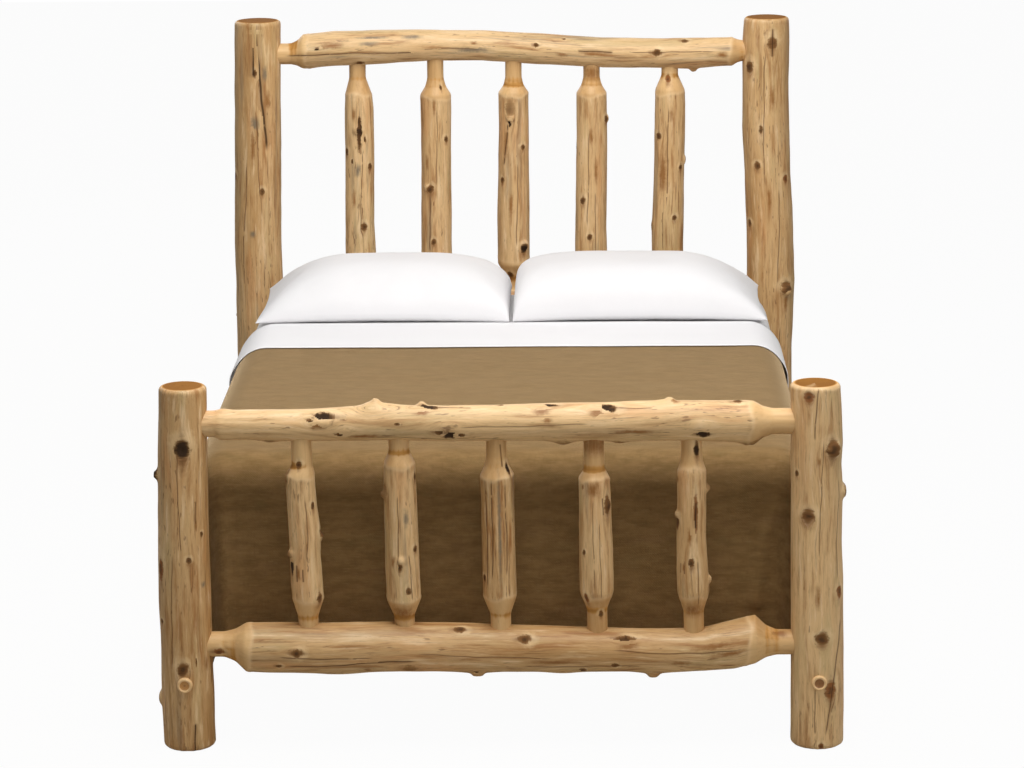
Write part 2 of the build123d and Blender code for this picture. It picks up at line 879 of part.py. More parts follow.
def make_top_sheet():
    """The sheet under the blanket, folded back over the blanket's head hem as a cuff."""
    with BuildPart() as sheet:
        add(make_cloth(sheet_out, sheet_thickness, sheet_left_hem, sheet_right_hem, sheet_foot_hem,
                       cloth_foot, cuff_fold))
        add(make_cloth(cuff_out, sheet_thickness, sheet_left_hem, sheet_right_hem, sheet_right_hem,
                       cuff_front, cuff_fold))
        add(make_cloth(sheet_out, cuff_out - sheet_out + sheet_thickness, sheet_left_hem, sheet_right_hem,
                       sheet_right_hem, cuff_fold - sheet_thickness, cuff_fold))
    sheet.part.label = "top_sheet"
    return sheet.part


def make_blanket():
    with BuildPart() as blanket:
        add(make_cloth(blanket_out, blanket_thickness, blanket_left_hem, blanket_right_hem, blanket_foot_hem,
                       cloth_foot, blanket_head))
    blanket.part.label = "blanket"
    return blanket.part


def make_pillow(label, side):
    """A stuffed pillow: two crowned halves that meet at the seam round its edge."""
    bottom = mattress_top + cuff_out + sheet_thickness + ply_gap
    x = side * (pillow_width + pillow_gap) / 2
    y = pillow_front + pillow_depth / 2
    with BuildPart() as pillow:
        for height, inset in ((0, pillow_belly), (pillow_seam_height, 0), (pillow_height, pillow_crown)):
            with BuildSketch(Plane((x, y, bottom + height))):
                outline = Rectangle(pillow_width - inset, pillow_depth - inset)
                chamfer(outline.vertices(), pillow_corner_cut)
        loft(ruled=True)
    solid = with_true_planes(pillow.part)
    solid.label = label
    return solid


# ---------------------------------------------------------------- assembly

pieces = []
for post in (post_foot_left, post_foot_right, post_head_left, post_head_right):
    pieces.append(post.make())
pieces += make_board("foot", FOOT_SPINDLES, foot_rail_bottom, foot_rail_top,
                     foot_spindle_pitch, foot_spindle_lean, foot_spindle_diameter)
pieces += make_board("head", HEAD_SPINDLES, head_rail_bottom, head_rail_top,
                     head_spindle_pitch, head_spindle_lean, head_spindle_diameter)
pieces.append(make_side_rail("side_rail_left", -1))
pieces.append(make_side_rail("side_rail_right", 1))
pieces += [make_bolts(), make_plugs()]
for index, y in enumerate(slat_places()):
    pieces.append(make_slat(index, y))
pieces.append(make_centre_beam())
for index, y in enumerate(leg_places):
    pieces.append(make_centre_leg(index, y))
pieces.append(make_pad("box_spring", slat_deck_height, foundation_top, 0))
pieces.append(make_pad("mattress", foundation_top, mattress_top, mattress_edge_bevel))
pieces += [make_fitted_sheet(), make_top_sheet(), make_blanket()]
pieces.append(make_pillow("pillow_left", -1))
pieces.append(make_pillow("pillow_right", 1))
for piece in pieces:
    save(piece)
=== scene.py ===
"""Rustic log bed: peeled cedar logs, mattress set and bedding, dressed over the bed's fixed frame."""

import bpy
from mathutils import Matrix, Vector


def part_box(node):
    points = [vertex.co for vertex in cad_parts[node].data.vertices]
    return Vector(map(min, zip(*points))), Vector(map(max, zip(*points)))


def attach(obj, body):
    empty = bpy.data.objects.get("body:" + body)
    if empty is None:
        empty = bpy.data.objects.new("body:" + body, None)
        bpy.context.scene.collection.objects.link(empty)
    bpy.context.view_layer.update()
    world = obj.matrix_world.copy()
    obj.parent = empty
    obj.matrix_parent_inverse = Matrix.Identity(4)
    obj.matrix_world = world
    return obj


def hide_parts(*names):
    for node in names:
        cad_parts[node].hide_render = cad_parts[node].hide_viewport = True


bl_info = {
    "name": "Rustic log bed",
    "version": (1, 0, 0),
    "blender": (4, 5, 0),
    "location": "3D View > Sidebar > Log bed",
    "description": "Builds a peeled-log bed with its mattress set and bedding",
    "category": "Add Mesh",
}

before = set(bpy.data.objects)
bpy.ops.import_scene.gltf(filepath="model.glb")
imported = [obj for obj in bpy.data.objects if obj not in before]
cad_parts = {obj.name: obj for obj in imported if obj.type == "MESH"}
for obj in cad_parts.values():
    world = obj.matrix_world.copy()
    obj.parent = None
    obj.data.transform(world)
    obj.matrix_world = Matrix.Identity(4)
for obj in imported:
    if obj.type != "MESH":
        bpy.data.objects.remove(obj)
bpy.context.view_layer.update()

import math

import bmesh
import bpy
import numpy as np
from mathutils import Matrix, Vector, noise
from mathutils.bvhtree import BVHTree

MM = 0.001
MATTRESS_LOW, MATTRESS_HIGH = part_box("mattress")
MATTRESS_WIDTH, MATTRESS_LENGTH = (high - low for low, high in zip(MATTRESS_LOW[:2], MATTRESS_HIGH[:2]))
MATTRESS_TOP = MATTRESS_HIGH[2]


# ---------------------------------------------------------------- colours

def dye(red, green, blue):
    """A colour as it looks on a screen, 0 to 255, as the shader's linear colour."""
    def linear(value):
        value /= 255
        return value / 12.92 if value <= 0.04045 else ((value + 0.055) / 1.055) ** 2.4
    return (linear(red), linear(green), linear(blue), 1.0)


def tint_setting(name, description, red, green, blue):
    return bpy.props.FloatVectorProperty(name=name, description=description, subtype="COLOR", size=3,
                                         min=0, max=1, default=dye(red, green, blue)[:3])


def length_setting(name, description, default, low, high):
    return bpy.props.FloatProperty(name=name, description=description, subtype="DISTANCE", unit="LENGTH",
                                   default=default, min=low, max=high)


def share_setting(name, description, default, high=2.0):
    return bpy.props.FloatProperty(name=name, description=description, subtype="FACTOR",
                                   default=default, min=0, max=high)


class LOGBED_PG_sizes(bpy.types.PropertyGroup):
    """Sizes of the logs' surface and of the bedding"""
    flats: bpy.props.IntProperty(name="Drawknife flats", description="Flats round a peeled log", default=12,
                                 min=6, max=24)
    lumps: share_setting("Lumpiness", "How uneven the peeled logs are", 1.0)
    log_detail: length_setting("Log detail", "Size of the faces of the peeled logs", 0.0042, 0.003, 0.02)
    edge_roll: length_setting("Edge roundness", "How round the made bed's edges are", 0.08, 0.03, 0.11)
    sheet: length_setting("Sheet thickness", "Thickness of the cotton sheets", 0.0018, 0.0005, 0.004)
    blanket: length_setting("Blanket thickness", "Thickness of the woven blanket", 0.0055, 0.002, 0.01)
    cuff: length_setting("Cuff depth", "How far the top sheet is turned back", 0.32, 0.1, 0.4)
    fullness: share_setting("Pillow fullness", "How evenly filled the pillows are", 0.76, 1.0)
    piping: length_setting("Piping", "Radius of the tape round the mattress set", 0.0045, 0.002, 0.008)


class LOGBED_PG_colours(bpy.types.PropertyGroup):
    """Colours of the wood, the cloth and the metal"""
    pale_wood: tint_setting("Pale wood", "Palest peeled sapwood", 220, 184, 134)
    deep_wood: tint_setting("Deep wood", "Darkest peeled sapwood", 176, 132, 78)
    streaks: tint_setting("Streaks", "Dark streaks along the grain", 118, 76, 38)
    knots: tint_setting("Knots", "Wood of the knots", 104, 74, 40)
    end_grain: tint_setting("End grain", "Heart of a sawn log", 128, 80, 18)
    button: tint_setting("Button", "Turned wooden button", 190, 138, 76)
    blanket_dark: tint_setting("Blanket, dark yarn", "Darker yarn of the blanket", 115, 90, 52)
    blanket_light: tint_setting("Blanket, light yarn", "Lighter yarn of the blanket", 149, 119, 78)
    cotton: tint_setting("Cotton", "White of the sheets and pillow cases", 229, 228, 230)
    ticking: tint_setting("Ticking", "Ground of the mattress ticking", 226, 219, 205)
    stripe: tint_setting("Ticking stripe", "Stripes of the mattress ticking", 164, 168, 174)
    board: tint_setting("Boards", "Planed pine of the slats and their beam", 216, 182, 132)
    steel: tint_setting("Steel", "Zinc-plated bolts", 158, 158, 154)


class LOGBED_PG_stage(bpy.types.PropertyGroup):
    """Light and floor"""
    lamps: share_setting("Lamps", "Strength of all lamps together", 1.0, 3.0)
    fill: share_setting("Fill light", "Strength of the light from all round", 0.16, 1.0)
    floor_white: share_setting("Floor whiteness", "How much of the floor is seen as plain white", 0.965, 1.0)
    focal: bpy.props.FloatProperty(name="Focal length", description="Lens of the camera",
                                   subtype="DISTANCE_CAMERA", unit="CAMERA", default=122.15, min=20, max=300)


def chosen(name):
    """A colour from the settings, as a shader takes it."""
    return (*getattr(bpy.context.scene.logbed_colours, name), 1.0)


# ---------------------------------------------------------------- shader expressions

class Wire:
    """A socket of a material, on which sums are written as plain Python."""

    def __init__(self, paint, socket):
        self.paint = paint
        self.socket = socket

    def _sum(self, operation, *values):
        return self.paint.node("Math", {"operation": operation}, values)

    def __add__(self, other): return self._sum("ADD", self, other)
    def __radd__(self, other): return self._sum("ADD", other, self)
    def __sub__(self, other): return self._sum("SUBTRACT", self, other)
    def __rsub__(self, other): return self._sum("SUBTRACT", other, self)
    def __mul__(self, other): return self._sum("MULTIPLY", self, other)
    def __rmul__(self, other): return self._sum("MULTIPLY", other, self)
    def __abs__(self): return self._sum("ABSOLUTE", self)

    def low(self, other): return self._sum("MINIMUM", self, other)
    def high(self, other): return self._sum("MAXIMUM", self, other)
    def wave(self): return self._sum("SINE", self)
    def length(self): return self.paint.node("VectorMath", {"operation": "LENGTH"}, [self], output="Value")

    def between(self, start, end, low=0.0, high=1.0):
        """From low where this is at start to high where it is at end, held outside them."""
        limits = {"From Min": start, "From Max": end, "To Min": low, "To Max": high}
        return self.paint.node("MapRange", {"interpolation_type": "SMOOTHSTEP"}, {"Value": self, **limits})

    def parts(self):
        return [self.paint.node("SeparateXYZ", None, [self], output=index) for index in range(3)]

    def overlaid(self, share, red, green, blue):
        """This colour with a share of another colour laid over it, for stains and tints and, in places, for
        painted light and shade.
        """
        return self.paint.mix(share, self, dye(red, green, blue))


class Nodes:
    """A node tree and the ways to add to it."""

    def __init__(self, tree):
        self.tree = tree

    def node(self, kind, settings=None, inputs=(), output=0):
        made = self.tree.nodes.new("ShaderNode" + kind)
        for key, value in (settings or {}).items():
            setattr(made, key, value)
        for key, value in (inputs.items() if isinstance(inputs, dict) else enumerate(inputs)):
            if isinstance(value, Wire):
                self.tree.links.new(value.socket, made.inputs[key])
            else:
                made.inputs[key].default_value = value
        return Wire(self, made.outputs[output])

    def show(self, wire, end):
        """Sends a shader to the tree's output node."""
        self.tree.links.new(wire.socket, self.tree.nodes[end].inputs["Surface"])


class Paint(Nodes):
    """A material and the ways to add to it."""

    def __init__(self, name, roughness=0.5, **constants):
        self.material = bpy.data.materials.new(name)
        self.material.use_nodes = True
        super().__init__(self.material.node_tree)
        self.shader = self.tree.nodes["Principled BSDF"]
        self.shader.inputs["Roughness"].default_value = roughness
        for socket, value in constants.items():
            self.shader.inputs[socket.replace("_", " ")].default_value = value

    def attribute(self, name):
        return self.node("Attribute", {"attribute_name": name}, output="Vector")

    def place(self):
        return self.node("TexCoord", output="Object")

    def join(self, x, y, z):
        return self.node("CombineXYZ", None, [x, y, z])

    def noise(self, vector, scale, detail=2.0, rough=0.5):
        return self.node("TexNoise", None,
                         {"Vector": vector, "Scale": scale, "Detail": detail, "Roughness": rough})

    def cells(self, vector, scale):
        return self.node("TexVoronoi", None, {"Vector": vector, "Scale": scale}, output="Distance")

    def mix(self, share, below, above):
        """A colour between two; in a Mix node, inputs 6 and 7 and output 2 are the colours."""
        return self.node("Mix", {"data_type": "RGBA"}, {0: share, 6: below, 7: above}, output=2)

    def bump(self, height, strength, distance):
        return self.node("Bump", None, {"Strength": strength, "Distance": distance, "Height": height})

    def set(self, socket, wire):
        self.tree.links.new(wire.socket, self.shader.inputs[socket])


# ---------------------------------------------------------------- pieces

def new_piece(name, bm, smooth=True):
    """A bmesh as an object at the origin."""
    mesh = bpy.data.meshes.new(name)
    bm.to_mesh(mesh)
    bm.free()
    if smooth:
        mesh.shade_smooth()
    piece = bpy.data.objects.new(name, mesh)
    bpy.context.scene.collection.objects.link(piece)
    return piece


def settle(piece):
    """Takes up what a piece's modifiers make, so that none is left on it."""
    shown = piece.evaluated_get(bpy.context.evaluated_depsgraph_get())
    made = bpy.data.meshes.new_from_object(shown)
    old = piece.data
    piece.modifiers.clear()
    piece.data = made
    bpy.data.meshes.remove(old)
    made.name = piece.name
    return piece


def paint_with(piece, material):
    piece.data.materials.clear()
    piece.data.materials.append(material)


def points(piece):
    flat = np.empty(len(piece.data.vertices) * 3)
    piece.data.vertices.foreach_get("co", flat)
    return flat.reshape(-1, 3)


def move_points(piece, places):
    piece.data.vertices.foreach_set("co", places.ravel())
    piece.data.update()


def write_attribute(piece, name, values):
    layer = piece.data.attributes.new(name, "FLOAT_VECTOR", "POINT")
    layer.data.foreach_set("vector", np.asarray(values, float).ravel())


# ---------------------------------------------------------------- peeled logs

UPRIGHT, ACROSS, ALONG = "upright", "across", "along"
# The axes (along the log, first and second across it) that a log's places and angles are counted on.
LOG_AXES = {
    UPRIGHT: ((0, 0, 1), (1, 0, 0), (0, 1, 0)),
    ACROSS: ((1, 0, 0), (0, 1, 0), (0, 0, 1)),
    ALONG: ((0, 1, 0), (-1, 0, 0), (0, 0, 1)),
}


WIDEST_BORE = 0.08


def without_bores(bm):
    """Closes a log's holes: a wall that faces another of the same log goes, and so does a hole's floor."""
    bm.normal_update()
    tree = BVHTree.FromBMesh(bm)
    walls = [face for face in bm.faces
             if tree.ray_cast(face.calc_center_median() + face.normal * 1e-4, face.normal, WIDEST_BORE)[0]]
    bmesh.ops.delete(bm, geom=walls, context="FACES")
    islands, seen = [], set()
    for start in bm.verts:
        if start in seen:
            continue
        island, front = set(), [start]
        while front:
            vert = front.pop()
            if vert not in island:
                island.add(vert)
                front += [edge.other_vert(vert) for edge in vert.link_edges]
        seen |= island
        islands.append(island)
    log = max(islands, key=len)
    bmesh.ops.delete(bm, geom=[vert for vert in bm.verts if vert not in log], context="VERTS")
    bmesh.ops.holes_fill(bm, edges=[edge for edge in bm.edges if edge.is_boundary], sides=0)
    bmesh.ops.triangulate(bm, faces=bm.faces)


STATION_STEP = 0.012  # between two rings that are fitted along a log
STEEPEST_LOG = 0.16  # where a log's radius changes faster than this, it is shaved down to a tenon
LIP, LIP_SPREAD = 0.006, 0.005  # how wide a shoulder's lip is, and how softly it ends


def fit_rings(first, second, along):
    """The centre line of a log and its girth, as arrays over places along it.

    A circle is fitted to the points near each station, and again to those that lie ever nearer to it, so that
    knots and the ledges of the side rails don't count.
    """
    stations = np.arange(along.min() + STATION_STEP / 2, along.max(), STATION_STEP)
    rows = []
    for station in stations:
        near = np.abs(along - station) < STATION_STEP
        x, y = first[near], second[near]
        rim = np.hypot(x - x.mean(), y - y.mean())
        keep = rim > 0.6 * rim.max()
        for spread in (0.02, 0.006, 0.003):
            sides = np.column_stack([2 * x[keep], 2 * y[keep], np.ones(keep.sum())])
            a, b, c = np.linalg.lstsq(sides, x[keep] ** 2 + y[keep] ** 2, rcond=None)[0]
            radius = math.sqrt(max(c + a * a + b * b, 1e-8))
            fit = np.abs(np.hypot(x - a, y - b) - radius) < spread
            if fit.sum() > 24:
                keep = fit
        rows.append((a, b, radius))
    rows = np.array(rows)
    kernel = np.array([1, 2, 3, 2, 1]) / 9
    padded = np.vstack([rows[:1], rows[:1], rows, rows[-1:], rows[-1:]])
    smooth = np.column_stack([np.convolve(padded[:, i], kernel, "valid") for i in range(3)])
    return stations, smooth


def necks(stations, girths, along):
    """Where a log is shaved down to its tenons, and the lips of its two shoulders, both 0 to 1."""
    steep = np.abs(np.gradient(girths, stations)) > STEEPEST_LOG
    quarter = len(stations) // 4
    shaved, lip = np.zeros(len(along)), np.zeros(len(along))
    for way, zone in ((-1, np.flatnonzero(steep[:quarter])),
                      (1, len(stations) - quarter + np.flatnonzero(steep[-quarter:]))):
        if len(zone):
            place = stations[zone.max() if way < 0 else zone.min()] - way * LIP
            past = way * (along - place)
            shaved = np.maximum(shaved, np.clip(past / LIP + 0.4, 0, 1))
            lip = np.maximum(lip, np.exp(-((past - LIP / 3) / LIP_SPREAD) ** 2))
    return shaved, lip


# What each kind of knot gives the finish (darkness, redness, rings), and its depth as a share of its width.
KNOT_KINDS = {
    "round": (0.85, 0.45, 1.0, 0.10),
    # hollow and slit: their full darkness is partly their dark dead wood and partly painted shade inside
    # their holes.
    "hollow": (1.0, 0.1, 0.0, 0.40),
    "slit": (1.0, 0.25, 0.0, 0.35),
    "speck": (0.75, 0.4, 0.2, 0.10),
    "stain_and_shade": (0.6, 0.35, -1.0, 0.0),
    "red": (0.7, 1.0, 0.7, 0.08),
    "ashen": (0.5, -0.6, -1.0, 0.0),
    "swell": (0.0, 0.0, -1.0, 0.0),
    "stub": (0.3, 0.35, 0.8, -0.1),
}
FLAT_KINDS = "stain_and_shade", "ashen"  # those that the grain doesn't run round
KNOT_REACH, KNOT_GROUND = 9.0, 5  # how far a knot is counted and how far it may show, in its half sizes
CHECK_GROUND = 0.03  # how far beside a drying check its marks may show
FAR, THINNEST = 1e3, 1e-4
FLAT_DEPTH = 0.985  # how flat the drawknife's flats still are after wear
LIP_HEIGHT, WORN_AWAY = 0.7 * MM, 0.4 * MM


def turned_off(angle, turn, girth):
    """How far round the log a point is from a line at some turn, in metres."""
    return (np.mod(angle - turn + math.pi, math.tau) - math.pi) * girth


def fenced(piece, nearest, owner, limit):
    """1 where a mark may show, 0 beyond its reach and where one mark's ground meets another's."""
    edges = np.empty(len(piece.data.edges) * 2, int)
    piece.data.edges.foreach_get("vertices", edges)
    ends = owner[edges.reshape(-1, 2)]
    shown = (nearest < limit).astype(float)
    shown[edges.reshape(-1, 2)[ends[:, 0] != ends[:, 1]].ravel()] = 0
    return shown


def knotted(piece, knots, along, angle, girth):
    """What a log's knots do to its points.

    Gives how far they raise the surface, the angle of the grain that runs round them, the place in the
    nearest knot (along the log, round it, 1 where it may show) and that knot's darkness, redness and rings.
    """
    count = len(along)
    lift, around = np.zeros(count), angle.copy()
    nearest, owner = np.full(count, KNOT_REACH), np.full(count, -1)
    knot, mark = np.zeros((count, 3)), np.zeros((count, 3))
    rows = [(kind, *row) for kind, group in knots.items() for row in group]
    for index, (kind, where, turn, long, wide, *stand_out) in enumerate(rows):
        dark, red, ringed, depth = KNOT_KINDS[kind]
        off = turned_off(angle, math.radians(turn), girth) / (wide * MM)
        run = (along - where * MM) / (long * MM)
        reach = np.hypot(run, off)
        lift += sum(stand_out) * MM * np.exp(-(reach / 1.35) ** 2)
        lift -= depth * wide * MM * np.exp(-(reach / 0.62) ** 2)
        if kind not in FLAT_KINDS:
            calm = np.maximum(np.hypot(run / 1.5, off) / 1.1, 1)
            around -= off * wide * MM / girth / calm ** 2
        closer = reach < nearest
        nearest, owner = np.where(closer, reach, nearest), np.where(closer, index, owner)
        knot[closer] = np.column_stack([run, off, np.ones(count)])[closer]
        mark[closer] = (dark, red, ringed)
    knot[:, 2] = fenced(piece, nearest, owner, KNOT_GROUND)
    return lift, around, knot, mark


def checked(piece, checks, along, angle, girth, body, seed):
    """The place in the nearest drying check: across and along it in half sizes, and 1 where it may show."""
    count = len(along)
    check = np.zeros((count, 3))
    nearest, owner = np.full(count, FAR), np.full(count, -1)
    for index, (where, turn, length, width, slant) in enumerate(checks):
        run = along - where * MM
        share = run / (length * MM / 2)
        wander = 0.0011 * np.sin(run * 29 + seed) + 0.0005 * np.sin(run * 83 + 2 * seed)
        off = turned_off(angle, math.radians(turn) + slant * run / body, girth) + wander
        reach = np.abs(off) + np.maximum(np.abs(share) - 1, 0) * length * MM / 2
        closer = reach < nearest
        nearest, owner = np.where(closer, reach, nearest), np.where(closer, index, owner)
        check[closer] = np.column_stack([off / (width * MM / 2), share, np.ones(count)])[closer]
    check[:, 2] = fenced(piece, nearest, owner, CHECK_GROUND)
    return check


def peel(name, axes, checks, tone, streaks, seed, coarse, grey=0.3, lumps=1.2, flutes=0.5, **knots):
    """The hand-peeled log that stands for a CAD log.

    Its surface is the solid's, with the drawknife's flats worn round, low lumps and flutes, a collar round
    each knot, and the attributes that its finish reads: grain, knot, mark, check, part and look.
    The other keywords are its knots, by their kind. A knot is (place, angle, half length, half width,
    stand out), the last left off for 0, and a check is (place, angle, length, width, slant), in millimetres
    and degrees.
    """
    sizes = bpy.context.scene.logbed_sizes
    bm = bmesh.new()
    bm.from_mesh(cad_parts[name].data)
    bmesh.ops.remove_doubles(bm, verts=bm.verts, dist=1e-5)
    without_bores(bm)
    piece = new_piece(name.replace("_", ".") + ".peeled", bm)
    skin = piece.modifiers.new("skin", "REMESH")
    skin.mode, skin.voxel_size, skin.use_smooth_shade = "VOXEL", sizes.log_detail * coarse, True
    worn = piece.modifiers.new("worn", "SMOOTH")
    worn.factor, worn.iterations = 0.5, 3
    settle(piece)

    way, side, rise = (np.array(axis, float) for axis in LOG_AXES[axes])
    place = points(piece)
    count = len(place)
    along, first, second = place @ way, place @ side, place @ rise
    stations, rings = fit_rings(first, second, along)
    centre_1, centre_2, girth = (np.interp(along, stations, rings[:, i]) for i in range(3))
    p, q = first - centre_1, second - centre_2
    radius, angle = np.hypot(p, q), np.arctan2(q, p)
    body = np.median(rings[len(rings) // 5:-len(rings) // 5, 2])

    uneven = 0.005 * np.sin(2 * angle + seed) + 0.002 * np.sin(5 * angle + 3 * seed)
    shaved, shoulder = necks(stations, rings[:, 2], along + uneven)
    sides = np.clip(radius / np.maximum(girth, THINNEST), 0, 1) ** 3
    flat = np.mod(angle, math.tau / sizes.flats) - math.pi / sizes.flats
    grow = 1 + (FLAT_DEPTH * np.cos(flat) / math.cos(math.pi / sizes.flats) - 1) * sides

    lift, around, knot, mark = knotted(piece, knots, along, angle, girth)
    check = checked(piece, checks, along, angle, girth, body, seed)
    shift = 7.3 * seed
    for index, (a, r, t) in enumerate(zip(angle, girth, along)):
        c, s = math.cos(a) * r, math.sin(a) * r
        broad = noise.noise((c * 11 + shift, s * 11, t * 9))
        broad += 0.4 * noise.noise((c * 26, s * 26 + shift, t * 22))
        fine = noise.noise((c * 60, s * 60 + shift, t * 5))
        lift[index] += (sizes.lumps * lumps * broad + flutes * fine) * MM
    lift = lift * sides * (1 - 0.5 * shaved) + LIP_HEIGHT * shoulder * sides
    radius = radius * grow + lift - WORN_AWAY * sides
    move_points(piece, along[:, None] * way + (centre_1 + np.cos(angle) * radius)[:, None] * side
                + (centre_2 + np.sin(angle) * radius)[:, None] * rise)

    heart = np.minimum(radius, girth)
    write_attribute(piece, "grain",
                    np.column_stack([np.cos(around) * heart, np.sin(around) * heart, along + shift]))
    write_attribute(piece, "knot", knot)
    write_attribute(piece, "mark", mark)
    write_attribute(piece, "check", check)
    inwards = np.clip(1 - radius / np.maximum(girth, THINNEST), 0, 1)
    write_attribute(piece, "part", np.column_stack([shaved, inwards, shoulder]))
    write_attribute(piece, "look", np.tile((tone, streaks, grey), (count, 1)))
    paint_with(piece, finish("cedar"))
    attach(piece, "frame")
    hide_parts(name)


# ---------------------------------------------------------------- finishes

def mix_cedar():
    """Peeled cedar under a satin varnish: streaked sapwood, ringed knots, drying checks and shaved necks;
    painted shade darkens the checks, the knot holes and a few marks under raised wood, and a painted
    highlight lights the knots' collars.
    """
    paint = Paint("cedar", roughness=0.46, Specular_IOR_Level=0.28, Coat_Weight=0.1, Coat_Roughness=0.3)
    shaved, inwards, shoulder = paint.attribute("part").parts()
    tone, streaks, grey = paint.attribute("look").parts()
    grain = paint.attribute("grain")
    x, y, z = grain.parts()
    slow = paint.join(x, y, z * 0.25)
    long = paint.join(x, y, z * 0.045)

    # Sapwood: broad changes of colour, then ever finer bands, streaks and fibres along the grain.
    broad = paint.noise(slow, 8, 3, 0.55)
    wood = paint.mix((broad * 1.2 - 0.1 + (tone - 0.5) * 1.5).between(0, 1),
                     chosen("deep_wood"), chosen("pale_wood"))
    warmth = paint.noise(paint.join(y, x, z * 0.16 + 7), 17, 3, 0.55)
    wood = wood.overlaid(warmth.between(0.54, 0.72) * 0.45, 204, 142, 86)
    wood = wood.overlaid(warmth.between(0.46, 0.3) * 0.45, 186, 164, 116)
    busy = paint.noise(paint.join(x, y, z * 0.3 + 3), 12, 2, 0.5).between(0.3, 0.62, 0.25, 1.15)
    bands = paint.noise(paint.join(x, y, z * 0.1), 62, 4, 0.6)
    wood = wood.overlaid(bands.between(0.5, 0.68) * (0.3 + streaks * 0.9).low(1), 158, 108, 58)
    wood = wood.overlaid(bands.between(0.46, 0.3) * 0.6, 234, 205, 163)
    ash = paint.noise(paint.join(x, y, z * 0.07), 30, 3, 0.55)
    wood = wood.overlaid(ash.between(0.56, 0.7) * grey * 1.5, 140, 120, 94)
    streak = paint.noise(long, 170, 4, 0.7)
    wood = paint.mix((streak.between(0.52, 0.74) * (0.3 + streaks * 0.8) * busy).low(1), wood,
                     chosen("streaks"))
    wood = wood.overlaid(streak.between(0.44, 0.28) * 0.45, 238, 211, 173)
    fibre = paint.noise(long, 800, 2, 0.6)
    wood = wood.overlaid(fibre.between(0.5, 0.8) * 0.35, 112, 72, 38)
    fleck = paint.noise(paint.join(x, y, z * 0.2), 150, 2, 0.5) + broad.between(0.35, 0.7) * 0.12
    wood = wood.overlaid(fleck.between(0.72, 0.82) * 0.6, 104, 66, 34)

    # The shaved tenons and the pale lips of their shoulders.
    smooth_wood = paint.mix(broad.between(0.3, 0.7), dye(190, 146, 92), dye(222, 184, 130))
    wood = paint.mix(shaved * 0.75, wood, smooth_wood)
    wood = wood.overlaid(shoulder * 0.32, 238, 208, 164)

    # Sawn ends: growth rings by the distance from the pith, with the waver of real ones.
    rings = ((paint.join(x, y, 0.0).length() + (broad - 0.5) * 0.012) * 1700).wave()
    heart = paint.mix(rings.between(-0.6, 0.9) * 0.5, chosen("end_grain"), dye(98, 58, 12))
    heart = heart.overlaid(broad.between(0.35, 0.65) * 0.4, 146, 98, 28)
    rim = paint.mix(rings.between(-0.6, 0.9) * 0.4, dye(196, 144, 78), dye(160, 110, 50))
    pith = inwards.between(0.93, 0.99)
    sawn = paint.mix(pith, paint.mix(inwards.between(0.06, 0.17), rim, heart), dye(84, 52, 26))
    ends = inwards.between(0.05, 0.09)
    wood = paint.mix(ends, wood, sawn)

    # Knots: a smudge along the grain, a pale collar with a painted highlight past the knot, a tapering shadow
    # and the knot itself.
    run, off, near = paint.attribute("knot").parts()
    dark, red, ringed = paint.attribute("mark").parts()
    stain_and_shade = ringed.between(-0.3, -0.8)
    ragged = paint.noise(grain, 70, 4, 0.65) - 0.5
    other = paint.noise(paint.join(x, z, y), 90, 3, 0.6) - 0.5
    reach = paint.join(run * 0.82 + ragged * 1.7, off * 0.82 + other * 1.5, 0.0).length()
    shown = near.between(0.985, 0.999)
    tail = 1 + stain_and_shade * 1.8
    smudge = (abs(off) + ragged * 1.6).between(1.7, 0.1) * (abs(run) * tail + ragged * 2).between(3.6, 0.4)
    smudge = smudge * shown * (streak * 1.4 - 0.1).between(0.2, 0.7, 0.45, 1.0)
    # The smudge's brown: stains along the grain round knots, and painted shade under the raised wood at the
    # slits of the top foot rail.
    smudge_colour = paint.mix(dark, dye(166, 114, 58), dye(124, 80, 38)).overlaid(red.between(-0.2, -0.5), 122, 108, 88)
    wood = paint.mix((smudge * (0.45 + dark * 0.4 + stain_and_shade * 0.3) * dark.between(0, 0.2)).low(1), wood, smudge_colour)
    solid_knot = shown * (1 - stain_and_shade)
    # The collar is pale wood round the knot; its brightening past the knot along the log, above it on an
    # upright log, is a painted highlight on the raised wood.
    pale_collar_and_highlight = reach.between(0.9, 1.4) * reach.between(2.7, 1.5) * solid_knot * run.between(-1.6, 1.0)
    wood = wood.overlaid(pale_collar_and_highlight * dark.between(0.3, 0.8) * 0.45, 238, 208, 160)
    taper = (abs(off) * 1.3 + abs(ragged) * 2).between(1.1, 0.1) * (abs(run) + ragged * 2).between(3.4, 0.6)
    wood = wood.overlaid((taper * solid_knot * dark * 0.55).low(1), 112, 74, 38)
    core = reach.between(1.3, 0.78) * solid_knot
    brown = paint.mix(red.between(0.2, 1), chosen("knots"), dye(134, 78, 40))
    turns = (reach * 9 + ragged * 5).wave()
    brown = brown.overlaid(turns.between(-0.2, 0.9) * ringed.high(0) * 0.35, 132, 96, 56)
    brown = brown.overlaid(reach.between(0.7, 0.15) * 0.75, 58, 38, 18)
    brown = brown.overlaid((other + 0.5).between(0.5, 0.75) * 0.4, 60, 38, 18)
    # Near black in the middle of hollow and slit knots: partly dark dead wood, partly painted shade inside
    # the hole.
    brown = brown.overlaid(dark.between(0.9, 1) * reach.between(1.1, 0.6), 50, 32, 14)
    wood = paint.mix((core * (0.3 + dark * 0.8)).low(1), wood, brown)

